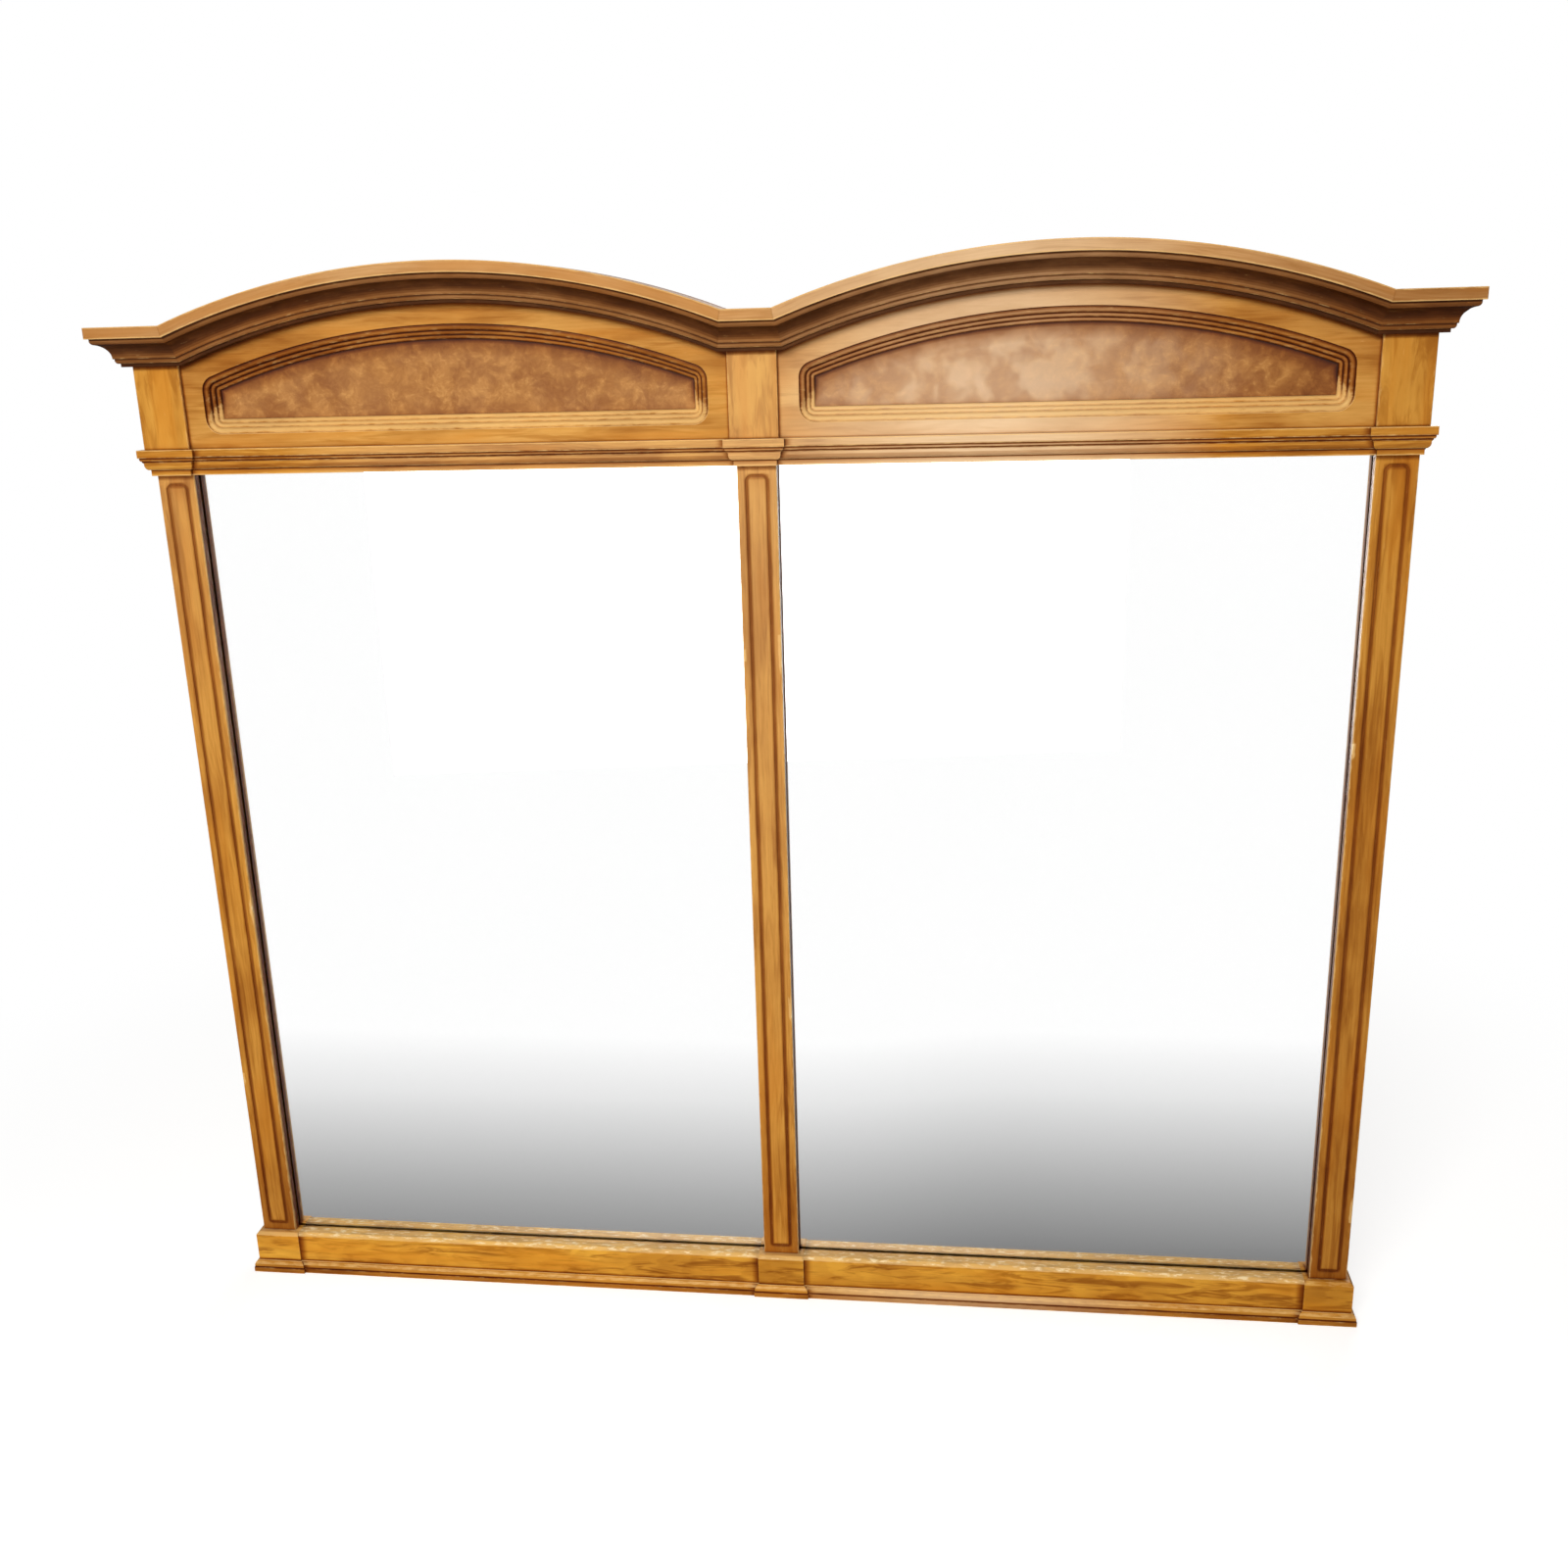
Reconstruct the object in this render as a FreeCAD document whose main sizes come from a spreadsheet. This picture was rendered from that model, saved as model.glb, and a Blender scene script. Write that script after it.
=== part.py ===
import FreeCAD, Part
import math
import os

import Sketcher

# A landscape wall and dresser mirror: three pilasters on a plinth rail, two sheets of
# mirror glass, a frieze with two burl panels and a crown moulding over two flat arches.
# X runs to the viewer's right, the front faces -Y and Z is up. The origin is at the
# middle of the base. Lengths are in millimetres. The left half mirrors the right half.

# Driving dimensions: name and size
SIZES = {
    # Pilasters and the frame they make
    "post_spacing": 721.0,
    "post_width": 47.0,
    "post_depth": 26.0,
    "opening_height": 1059.0,
    "arris_radius": 1.0,
    # Scratched line round each pilaster's face, measured to its middle
    "groove_width": 3.0,
    "groove_depth": 1.5,
    "groove_side_margin": 11.0,
    "groove_end_margin": 12.0,
    "groove_head_radius": 7.0,
    "groove_foot_radius": 3.0,
    # Plinth blocks, bottom rail and the base moulding round them
    "plinth_width": 62.0,
    "plinth_height": 60.5,
    "plinth_proud": 10.5,
    "rail_proud": 8.0,
    "top_chamfer": 3.5,
    "base_height": 17.0,
    "base_lip": 1.0,
    "base_round_run": 4.2,
    "base_round_drop": 9.5,
    "base_round_radius": 8.5,
    "base_shelf": 1.0,
    # Rebates in the back of the frame, glass and backing board
    "glass_setback": 12.0,
    "glass_thickness": 5.0,
    "glass_rebate": 8.0,
    "glass_clearance": 1.5,
    "backing_thickness": 3.2,
    "backing_rebate": 16.0,
    "backing_clearance": 1.0,
    # Capital moulding, which runs on as the moulded rail over the glass
    "capital_height": 31.5,
    "capital_overhang": 7.0,
    "capital_fillet": 9.6,
    "capital_quirk": 1.6,
    "capital_bead_run": 1.0,
    "capital_bead_drop": 2.4,
    "capital_bead_radius": 3.2,
    "capital_step": 1.0,
    "capital_cove_run": 1.5,
    "capital_cove_drop": 2.2,
    "capital_cove_radius": 2.4,
    "capital_round_run": 3.3,
    "capital_round_drop": 5.8,
    "capital_round_radius": 6.7,
    "capital_foot_step": 2.0,
    "capital_listel": 1.4,
    # Frieze blocks and boards
    "block_width": 57.5,
    "block_proud": 13.0,
    "board_proud": 8.0,
    "board_thickness": 22.0,
    "frieze_height": 98.0,
    "arch_rise": 62.0,
    # Stepped recess in each frieze board, with the burl panel on its floor
    "recess_side_margin": 24.5,
    "recess_foot_margin": 17.0,
    "recess_head_margin": 23.0,
    "recess_corner_radius": 18.0,
    "recess_quirk_depth": 1.5,
    "recess_band_width": 7.0,
    "recess_band_drop": 4.5,
    "recess_band_round": 4.0,
    "recess_reed_width": 5.0,
    "recess_reed_drop": 3.75,
    "recess_reed_round": 2.6,
    "burl_thickness": 3.0,
    "burl_clearance": 0.2,
    # Crown moulding
    "crown_height": 46.0,
    "crown_overhang": 36.0,
    "crown_fillet": 13.2,
    "crown_quirk": 4.0,
    "crown_quirk_drop": 2.4,
    "crown_lip_run": 2.8,
    "crown_lip_drop": 4.2,
    "crown_lip_radius": 4.6,
    "crown_cove_run": 14.0,
    "crown_cove_drop": 15.6,
    "crown_cove_radius": 16.5,
    "crown_listel": 1.2,
    "crown_step": 1.6,
    "crown_step_drop": 1.6,
    "crown_bead_run": 2.2,
    "crown_bead_drop": 3.8,
    "crown_bead_radius": 4.4,
    "crown_foot_step": 2.4,
    # Dowels in the frame joints
    "dowel_diameter": 8.0,
    "dowel_length": 30.0,
    "dowel_end_clearance": 0.5,
    "dowel_setback": 6.0,
    "dowel_rear_setback": 19.0,
    "dowel_pair_spacing": 14.0,
    "dowel_post_spacing": 22.0,
    "dowel_foot_spacing": 16.0,
    "dowel_rail_height": 12.0,
    "dowel_rail_spacing": 20.0,
    "dowel_board_margin": 24.0,
    "dowel_row_spacing": 240.0,
    # Screws that hold the backing boards
    "screw_head_diameter": 6.0,
    "screw_head_height": 1.8,
    "screw_shank_diameter": 3.0,
    "screw_point_height": 2.0,
    "screw_length": 12.0,
    "screw_side_margin": 70.0,
    "screw_end_margin": 90.0,
    # Screws that pull each arch of the crown to its board from behind
    "crown_screw_diameter": 4.0,
    "crown_screw_head": 8.0,
    "crown_screw_head_height": 2.4,
    "crown_screw_point": 3.0,
    "crown_screw_bite": 20.0,
    "crown_screw_drop": 18.0,
    "crown_screw_spacing": 115.0,
    # Threaded inserts for the two dresser supports
    "insert_diameter": 10.0,
    "insert_bore": 6.0,
    "insert_length": 13.0,
    "insert_low_height": 120.0,
    "insert_spacing": 360.0,
    # How far cutting shapes run past what they cut
    "overrun": 2.0,
}

RECESS_REEDS = 2
SIDE_SCREWS = 5
END_SCREWS = 3
ARCH_SCREWS = 5
ROW_DOWELS = 3
# Degrees of crown moulding turned for each arch, before its mitres are cut
ARCH_SWEEP = 60
# Places closer than this count as the same place
SAME_PLACE = 1e-4

doc = FreeCAD.newDocument("landscape_mirror")
sheet = doc.addObject("Spreadsheet::Sheet", "Sizes")
for row, (alias, size) in enumerate(SIZES.items(), start=1):
    sheet.set(f"A{row}", alias)
    sheet.set(f"B{row}", str(size))
    sheet.setAlias(f"B{row}", alias)
doc.recompute()


class Size:
    """A length that knows its value and the sheet formula that gives it."""

    def __init__(self, value, formula):
        self.value = value
        self.formula = formula

    def __add__(self, other):
        other = as_size(other)
        return Size(self.value + other.value, f"({self.formula} + {other.formula})")

    def __sub__(self, other):
        other = as_size(other)
        return Size(self.value - other.value, f"({self.formula} - {other.formula})")

    def __mul__(self, other):
        other = as_size(other)
        return Size(self.value * other.value, f"({self.formula} * {other.formula})")

    def __truediv__(self, other):
        other = as_size(other)
        return Size(self.value / other.value, f"({self.formula} / {other.formula})")

    def __neg__(self):
        return Size(-self.value, f"(-1 * {self.formula})")

    __radd__ = __add__
    __rmul__ = __mul__


def as_size(number):
    if isinstance(number, Size):
        return number
    return Size(float(number), f"({number})")


def root(size):
    return Size(math.sqrt(size.value), f"sqrt({size.formula})")


def named(alias):
    return Size(float(sheet.get(alias)), f"Sizes.{alias}")


S = {alias: named(alias) for alias in SIZES}
ZERO = as_size(0)


def bind(feature, prop, size):
    """Ties a feature's property to the sheet."""
    feature.setExpression(prop, as_size(size).formula)


# Planes of the frame that several pieces share
POST_FACE = (S["block_proud"] + S["crown_overhang"] - S["post_depth"]) / 2
BACK = POST_FACE + S["post_depth"]
BOARD_FACE = POST_FACE - S["board_proud"]
BLOCK_FACE = POST_FACE - S["block_proud"]
CROWN_FACE = BLOCK_FACE - S["crown_overhang"]
RAIL_FACE = POST_FACE - S["rail_proud"]
PLINTH_FACE = POST_FACE - S["plinth_proud"]
GLASS_FACE = POST_FACE + S["glass_setback"]
GLASS_BACK = GLASS_FACE + S["glass_thickness"]

POST_FOOT = S["plinth_height"]
OPENING_TOP = POST_FOOT + S["opening_height"]
CAPITAL_TOP = OPENING_TOP + S["capital_height"]
CROWN_FOOT = CAPITAL_TOP + S["frieze_height"]
CROWN_TOP = CROWN_FOOT + S["crown_height"]

POST_HALF = S["post_width"] / 2
BLOCK_HALF = S["block_width"] / 2
PLINTH_HALF = S["plinth_width"] / 2
SPACING = S["post_spacing"]
BAY_MIDDLE = SPACING / 2
BAY_HALF = BAY_MIDDLE - BLOCK_HALF

# The top of the crown over a bay is an arc through the inner top edges of two blocks
ARCH_RADIUS = (BAY_HALF * BAY_HALF + S["arch_rise"] * S["arch_rise"]) / (2 * S["arch_rise"])
ARCH_CENTRE = CROWN_TOP + S["arch_rise"] - ARCH_RADIUS
CROWN_FOOT_RADIUS = ARCH_RADIUS - S["crown_height"]
# Half the chord of the crown's lower edge, where the mitre with the flat length starts
MITRE_FOOT_HALF = root(CROWN_FOOT_RADIUS * CROWN_FOOT_RADIUS
                       - (CROWN_FOOT - ARCH_CENTRE) * (CROWN_FOOT - ARCH_CENTRE))


def plane_of(body, role):
    for feature in body.Origin.OriginFeatures:
        if feature.Role == role:
            return feature
    raise ValueError(role)


def draw(sketch, corners):
    """Adds one closed loop. A corner is (across, up) or (across, up, bend): bend is the
    radius of the run to the next corner, positive with its centre on the left hand."""
    first = sketch.GeometryCount
    count = len(corners)
    ends = []
    for index, corner in enumerate(corners):
        here = FreeCAD.Vector(corner[0].value, corner[1].value, 0)
        after = corners[(index + 1) % count]
        there = FreeCAD.Vector(after[0].value, after[1].value, 0)
        if len(corner) == 2:
            sketch.addGeometry(Part.LineSegment(here, there), False)
            ends.append((1, 2))
            continue
        radius = abs(corner[2].value)
        left_hand = corner[2].value > 0
        chord = there - here
        rise = math.sqrt(radius ** 2 - (chord.Length / 2) ** 2)
        normal = FreeCAD.Vector(-chord.y, chord.x, 0).normalize()
        centre = (here + there) / 2 + normal * (rise if left_hand else -rise)
        start, stop = (here, there) if left_hand else (there, here)
        circle = Part.Circle(centre, FreeCAD.Vector(0, 0, 1), radius)
        angles = [math.atan2(point.y - centre.y, point.x - centre.x) for point in (start, stop)]
        sketch.addGeometry(Part.ArcOfCircle(circle, angles[0], angles[1]), False)
        ends.append((1, 2) if left_hand else (2, 1))
    for index, corner in enumerate(corners):
        geometry = first + index
        after = (index + 1) % count
        begin, end = ends[index]
        sketch.addConstraint(Sketcher.Constraint(
            "Coincident", geometry, end, first + after, ends[after][0]))
        for kind, place in (("DistanceX", corner[0]), ("DistanceY", corner[1])):
            number = sketch.addConstraint(Sketcher.Constraint(kind, geometry, begin, place.value))
            sketch.setExpression(f"Constraints[{number}]", place.formula)
        if len(corner) == 3:
            bend = corner[2] if corner[2].value > 0 else -corner[2]
            number = sketch.addConstraint(Sketcher.Constraint("Radius", geometry, bend.value))
            sketch.setExpression(f"Constraints[{number}]", bend.formula)


def sketch_on(body, name, role, loops, offset):
    """A sketch on one of the body's origin planes, moved along the plane's normal."""
    sketch = body.newObject("Sketcher::SketchObject", name)
    sketch.AttachmentSupport = [(plane_of(body, role), "")]
    sketch.MapMode = "FlatFace"
    for corners in loops:
        draw(sketch, corners)
    bind(sketch, "AttachmentOffset.Base.z", offset)
    return sketch


def padded(name, role, loops, offset, length):
    """A body made by one pad. XZ sketches are padded towards the front (-Y)."""
    body = doc.addObject("PartDesign::Body", name)
    pad = body.newObject("PartDesign::Pad", f"{name}_pad")
    pad.Profile = sketch_on(body, f"{name}_sketch", role, loops, offset)
    bind(pad, "Length", length)
    return body


def along_x(name, corners, start, stop):
    """A section in Y and Z run along X."""
    return padded(name, "YZ_Plane", [corners], start, stop - start)


def along_y(name, corners, front, back):
    """An elevation in X and Z run from front to back."""
    return padded(name, "XZ_Plane", [corners], -back, back - front)


def along_z(name, corners, foot, head):
    """A plan in X and Y run upwards."""
    return padded(name, "XY_Plane", [corners], foot, head - foot)


def rectangle(left, low, right, high):
    return [(left, low), (right, low), (right, high), (left, high)]


def box(name, corner, opposite):
    """A plain block between two opposite corners."""
    block = doc.addObject("Part::Box", name)
    for prop, low, high in zip(("Length", "Width", "Height"), corner, opposite):
        bind(block, prop, high - low)
    for axis, low in zip("xyz", corner):
        bind(block, f"Placement.Base.{axis}", low)
    return block


def round_bar(name, diameter, length, place, axis):
    """A cylinder whose middle is at place, lying along x, y or z."""
    bar = doc.addObject("Part::Cylinder", name)
    bind(bar, "Radius", diameter / 2)
    bind(bar, "Height", length)
    turns = {"x": FreeCAD.Rotation(FreeCAD.Vector(0, 1, 0), 90),
             "y": FreeCAD.Rotation(FreeCAD.Vector(1, 0, 0), -90),
             "z": FreeCAD.Rotation()}
    bar.Placement = FreeCAD.Placement(FreeCAD.Vector(), turns[axis])
    for letter, middle in zip("xyz", place):
        start = middle - length / 2 if letter == axis else middle
        bind(bar, f"Placement.Base.{letter}", start)
    return bar


def group(name, members):
    compound = doc.addObject("Part::Compound", name)
    compound.Links = members
    return compound


def cut(name, base, *tools):
    """What is left of base after each tool in turn."""
    for number, tool in enumerate(tools, start=1):
        left = doc.addObject("Part::Cut", name if number == len(tools) else f"{name}_cut{number}")
        left.Base = base
        left.Tool = tool
        base = left
    return base


def common(name, first, second):
    both = doc.addObject("Part::Common", name)
    both.Base = first
    both.Tool = second
    return both


def mirrored(name, source):
    """The same piece on the other side of the middle."""
    twin = doc.addObject("Part::Mirroring", name)
    twin.Source = source
    twin.Base = FreeCAD.Vector(0, 0, 0)
    twin.Normal = FreeCAD.Vector(1, 0, 0)
    return twin


pieces = []


def piece(label, solid):
    """Books a finished piece under the name of its file."""
    solid.Label = label
    pieces.append(solid)
    return solid


def piece_and_twin(label, solid):
    """Books a right-hand piece and its left-hand twin."""
    piece(f"{label}_right", solid)
    piece(f"{label}_left", mirrored(f"{label}_left", solid))


# Profiles as (run, drop) from their top front edge: run goes inwards and drop downwards
def running(steps):
    """Adds up steps of (run, drop) or (run, drop, bend) into profile corners."""
    run, drop = ZERO, ZERO
    corners = []
    for step in steps:
        bend = step[2:]
        corners.append((run, drop) + tuple(bend))
        run, drop = run + step[0], drop + step[1]
    corners.append((run, drop))
    return corners


def crown_profile():
    steps = [
        (ZERO, S["crown_fillet"]),
        (S["crown_quirk"], ZERO),
        (ZERO, S["crown_quirk_drop"]),
        (S["crown_lip_run"], S["crown_lip_drop"], S["crown_lip_radius"]),
        (S["crown_cove_run"], S["crown_cove_drop"], -S["crown_cove_radius"]),
        (ZERO, S["crown_listel"]),
        (S["crown_step"], ZERO),
        (ZERO, S["crown_step_drop"]),
        (S["crown_bead_run"], S["crown_bead_drop"], S["crown_bead_radius"]),
        (S["crown_foot_step"], ZERO),
    ]
    corners = running(steps)
    corners.append((corners[-1][0], S["crown_height"]))
    return corners


def capital_profile():
    steps = [
        (ZERO, S["capital_fillet"]),
        (S["capital_quirk"], ZERO),
        (ZERO, S["capital_listel"]),
        (S["capital_bead_run"], S["capital_bead_drop"], S["capital_bead_radius"]),
        (S["capital_step"], ZERO),
        (ZERO, S["capital_listel"]),
        (S["capital_cove_run"], S["capital_cove_drop"], -S["capital_cove_radius"]),
        (ZERO, S["capital_listel"]),
        (S["capital_round_run"], S["capital_round_drop"], S["capital_round_radius"]),
        (S["capital_foot_step"], ZERO),
    ]
    corners = running(steps)
    corners.append((corners[-1][0], S["capital_height"]))
    return corners


def base_profile():
    """The base moulding spreads downwards, so its run shrinks as it drops."""
    return [
        (S["base_shelf"] + S["base_round_run"], ZERO, S["base_round_radius"]),
        (S["base_shelf"], S["base_round_drop"]),
        (ZERO, S["base_round_drop"]),
        (ZERO, S["base_height"]),
    ]


def set_out(profile, edge, inward, top):
    """Profile corners placed across from edge and down from top. inward is 1 where the
    run goes towards plus and -1 where it goes towards minus."""
    placed = []
    for corner in profile:
        bend = tuple(size * inward for size in corner[2:])
        placed.append((edge + corner[0] * inward, top - corner[1]) + bend)
    return placed


def closed(profile, edge, inward, top, back):
    """A set-out profile closed by a flat back."""
    placed = set_out(profile, edge, inward, top)
    foot = placed[-1][1]
    head = placed[0][1]
    return placed + [(back, foot), (back, head)]


# Cutting shapes shared by the pieces round each opening
def bay_pocket(name, rebate, front):
    """The space that a rebate leaves behind the right-hand opening."""
    inner, outer = POST_HALF - rebate, SPACING - POST_HALF + rebate
    low, high = POST_FOOT - rebate, OPENING_TOP + rebate
    return box(name, (inner, front, low), (outer, BACK + S["overrun"], high))


glass_pocket = bay_pocket("glass_pocket", S["glass_rebate"], GLASS_FACE)
backing_pocket = bay_pocket("backing_pocket", S["backing_rebate"], GLASS_BACK)
rebate_right = group("rebate_right", [glass_pocket, backing_pocket])
rebate_left = mirrored("rebate_left", rebate_right)


def dowel_places():
    """Middle and direction of each dowel of the right half, and those on the middle line."""
    line = POST_FACE + S["dowel_setback"]
    rear = POST_FACE + S["dowel_rear_setback"]
    rail_low = S["dowel_rail_height"]
    string_middle = OPENING_TOP + S["capital_height"] / 2
    half_pair = S["dowel_pair_spacing"] / 2
    half_foot = S["dowel_foot_spacing"] / 2
    half_post = S["dowel_post_spacing"] / 2
    board_low = CAPITAL_TOP + S["dowel_board_margin"]
    board_high = CROWN_TOP - S["dowel_board_margin"]
    right = []
    for level in (rail_low, rail_low + S["dowel_rail_spacing"]):
        right.append(((PLINTH_HALF, line, level), "x"))
        right.append(((SPACING - PLINTH_HALF, line, level), "x"))
    for level in (string_middle - half_pair, string_middle + half_pair):
        right.append(((POST_HALF, line, level), "x"))
        right.append(((SPACING - POST_HALF, line, level), "x"))
    for level in (board_low, board_high):
        right.append(((BLOCK_HALF, line, level), "x"))
        right.append(((SPACING - BLOCK_HALF, line, level), "x"))
    for number in range(ROW_DOWELS):
        offset = S["dowel_row_spacing"] * (number - (ROW_DOWELS - 1) / 2)
        right.append(((BAY_MIDDLE + offset, line, CAPITAL_TOP), "z"))
    for side in (-1, 1):
        right.append(((SPACING + half_foot * side, line, POST_FOOT), "z"))
        right.append(((SPACING + half_post * side, rear, CAPITAL_TOP), "z"))
    middle = []
    for side in (-1, 1):
        middle.append(((half_foot * side, line, POST_FOOT), "z"))
        middle.append(((half_post * side, rear, CAPITAL_TOP), "z"))
    return right, middle


def bars(name, places, length):
    made = []
    for number, (place, axis) in enumerate(places, start=1):
        made.append(round_bar(f"{name}_{number}", S["dowel_diameter"], length, place, axis))
    return group(name, made)


RIGHT_DOWELS, MIDDLE_DOWELS = dowel_places()
SOCKET_LENGTH = S["dowel_length"] + 2 * S["dowel_end_clearance"]
sockets_right = bars("sockets_right", RIGHT_DOWELS, SOCKET_LENGTH)
sockets_left = mirrored("sockets_left", sockets_right)
sockets_middle = bars("sockets_middle", MIDDLE_DOWELS, SOCKET_LENGTH)
dowels_right = bars("dowels_right", RIGHT_DOWELS, S["dowel_length"])
piece("joint_dowels", group("joint_dowels", [
    dowels_right, mirrored("dowels_left", dowels_right),
    bars("dowels_middle", MIDDLE_DOWELS, S["dowel_length"])]))


def screw(name, place, head, head_height, shank, length, point):
    """A countersunk screw driven towards the front, its head flush at place."""
    body = doc.addObject("PartDesign::Body", name)
    across, back, level = place
    tip = back - length
    outline = [
        (across, back),
        (across, tip),
        (across + shank / 2, tip + point),
        (across + shank / 2, back - head_height),
        (across + head / 2, back),
    ]
    sketch = sketch_on(body, f"{name}_sketch", "XY_Plane", [outline], level)
    turned = body.newObject("PartDesign::Revolution", f"{name}_turned")
    turned.Profile = sketch
    turned.ReferenceAxis = (sketch, ["Edge1"])
    turned.Angle = 360
    return body


def evenly(first, last, count):
    return [first + (last - first) * (number / (count - 1)) for number in range(count)]


def backing_screw_places():
    """Screws round the right-hand backing board, in the middle of its landing."""
    landing = (S["glass_rebate"] + S["backing_rebate"]) / 2
    surface = GLASS_BACK + S["backing_thickness"]
    inner, outer = POST_HALF, SPACING - POST_HALF
    places = []
    for level in evenly(POST_FOOT + S["screw_side_margin"],
                        OPENING_TOP - S["screw_side_margin"], SIDE_SCREWS):
        places.append((inner - landing, surface, level))
        places.append((outer + landing, surface, level))
    for across in evenly(inner + S["screw_end_margin"], outer - S["screw_end_margin"], END_SCREWS):
        places.append((across, surface, POST_FOOT - landing))
        places.append((across, surface, OPENING_TOP + landing))
    return places


backing_screws = []
for number, place in enumerate(backing_screw_places(), start=1):
    backing_screws.append(screw(f"backing_screw_{number}", place,
                                S["screw_head_diameter"], S["screw_head_height"],
                                S["screw_shank_diameter"], S["screw_length"],
                                S["screw_point_height"]))
screws_right = group("screws_right", backing_screws)
screws_left = mirrored("screws_left", screws_right)
piece("backing_screws", group("backing_screws", [screws_right, screws_left]))

# Threaded inserts in the back of the outer pilasters
INSERT_X = SPACING + S["backing_rebate"] / 2
INSERT_MIDDLE = BACK - S["insert_length"] / 2
insert_seats = []
insert_rings = []
for number, level in enumerate((S["insert_low_height"],
                                S["insert_low_height"] + S["insert_spacing"]), start=1):
    middle = (INSERT_X, INSERT_MIDDLE, level)
    seat = round_bar(f"insert_seat_{number}", S["insert_diameter"], S["insert_length"], middle, "y")
    bore = round_bar(f"insert_bore_{number}", S["insert_bore"], S["insert_length"], middle, "y")
    insert_seats.append(seat)
    insert_rings.append(cut(f"insert_{number}", seat, bore))
inserts_right = group("inserts_right", insert_rings)
piece("support_inserts", group("support_inserts", [
    inserts_right, mirrored("inserts_left", inserts_right)]))
seats_right = group("seats_right", insert_seats)


def rounded_loop(middle, half, low, high, foot_radius, head_radius):
    """A tall loop with rounded corners."""
    return [
        (middle - half + foot_radius, low),
        (middle + half - foot_radius, low, foot_radius),
        (middle + half, low + foot_radius),
        (middle + half, high - head_radius, head_radius),
        (middle + half - head_radius, high),
        (middle - half + head_radius, high, head_radius),
        (middle - half, high - head_radius),
        (middle - half, low + foot_radius, foot_radius),
    ]


def edges_at(shape, test):
    """Names of the edges whose middle passes the test."""
    names = []
    for number, edge in enumerate(shape.Edges, start=1):
        middle = edge.valueAt((edge.FirstParameter + edge.LastParameter) / 2)
        if test(edge, middle):
            names.append(f"Edge{number}")
    return names


def near(one, other):
    return abs(one - other) < SAME_PLACE


def eased(body, base, corners, radius):
    """Rounds the upright edges of a body that stand at the given plan corners."""
    doc.recompute()

    def upright(edge, middle):
        bounds = edge.BoundBox
        tall = bounds.ZLength > 2 * (bounds.XLength + bounds.YLength)
        return tall and any(near(middle.x, x.value) and near(middle.y, y.value)
                            for x, y in corners)

    fillet = body.newObject("PartDesign::Fillet", f"{body.Name}_arris")
    fillet.Base = (base, edges_at(base.Shape, upright))
    bind(fillet, "Radius", radius)


def pilaster(name, middle):
    """A post with a scratched line round its face and eased front edges."""
    left, right = middle - POST_HALF, middle + POST_HALF
    body = along_z(name, rectangle(left, POST_FACE, right, BACK), POST_FOOT, CAPITAL_TOP)
    half = POST_HALF - S["groove_side_margin"]
    low = POST_FOOT + S["groove_end_margin"]
    high = OPENING_TOP - S["groove_end_margin"]
    reach = S["groove_width"] / 2
    outer = rounded_loop(middle, half + reach, low - reach, high + reach,
                         S["groove_foot_radius"] + reach, S["groove_head_radius"] + reach)
    inner = rounded_loop(middle, half - reach, low + reach, high - reach,
                         S["groove_foot_radius"] - reach, S["groove_head_radius"] - reach)
    groove = body.newObject("PartDesign::Pocket", f"{name}_groove")
    groove.Profile = sketch_on(body, f"{name}_groove_sketch", "XZ_Plane", [outer, inner], -POST_FACE)
    bind(groove, "Length", S["groove_depth"])
    eased(body, groove, [(left, POST_FACE), (right, POST_FACE)], S["arris_radius"])
    return body


post_centre = piece("post_centre", cut("post_centre", pilaster("centre_pilaster", ZERO),
                                       rebate_right, rebate_left, sockets_right, sockets_left,
                                       sockets_middle, screws_right, screws_left))
post_right = cut("post_right", pilaster("right_pilaster", SPACING),
                 rebate_right, sockets_right, screws_right, seats_right)
piece_and_twin("post", post_right)


def plinth(name, middle, outer_side):
    """A block with a chamfered top: on its front, and on its outer side at a corner."""
    left, right = middle - PLINTH_HALF, middle + PLINTH_HALF
    body = along_z(name, rectangle(left, PLINTH_FACE, right, BACK), ZERO, S["plinth_height"])
    doc.recompute()
    block = body.Tip

    def top_edge(edge, place):
        if not near(place.z, S["plinth_height"].value):
            return False
        return near(place.y, PLINTH_FACE.value) or (outer_side and near(place.x, right.value))

    chamfer = body.newObject("PartDesign::Chamfer", f"{name}_chamfer")
    chamfer.Base = (block, edges_at(block.Shape, top_edge))
    bind(chamfer, "Size", S["top_chamfer"])
    return body


piece("plinth_block_centre", cut("plinth_block_centre", plinth("centre_plinth", ZERO, False),
                                 rebate_right, rebate_left, sockets_right, sockets_left,
                                 sockets_middle))
plinth_right = cut("plinth_block_right", plinth("right_plinth", SPACING, True),
                   rebate_right, sockets_right)
piece_and_twin("plinth_block", plinth_right)

# Bottom rail between the plinth blocks
RAIL_START, RAIL_END = PLINTH_HALF, SPACING - PLINTH_HALF
rail_section = [
    (RAIL_FACE, ZERO),
    (BACK, ZERO),
    (BACK, POST_FOOT),
    (RAIL_FACE + S["top_chamfer"], POST_FOOT),
    (RAIL_FACE, POST_FOOT - S["top_chamfer"]),
]
bottom_rail = cut("bottom_rail_right", along_x("rail_bar", rail_section, RAIL_START, RAIL_END),
                  rebate_right, sockets_right, screws_right)
piece_and_twin("bottom_rail", bottom_rail)


# Moulded lengths with mitred ends. reach is how far a moulding stands out, and face is
# where its mitres come to nothing.
def mitred_to(name, bar, plan, profile, top):
    foot = top - profile[-1][1]
    mitre = along_z(f"{name}_mitre", plan, foot - S["overrun"], top + S["overrun"])
    return common(name, bar, mitre)


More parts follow.
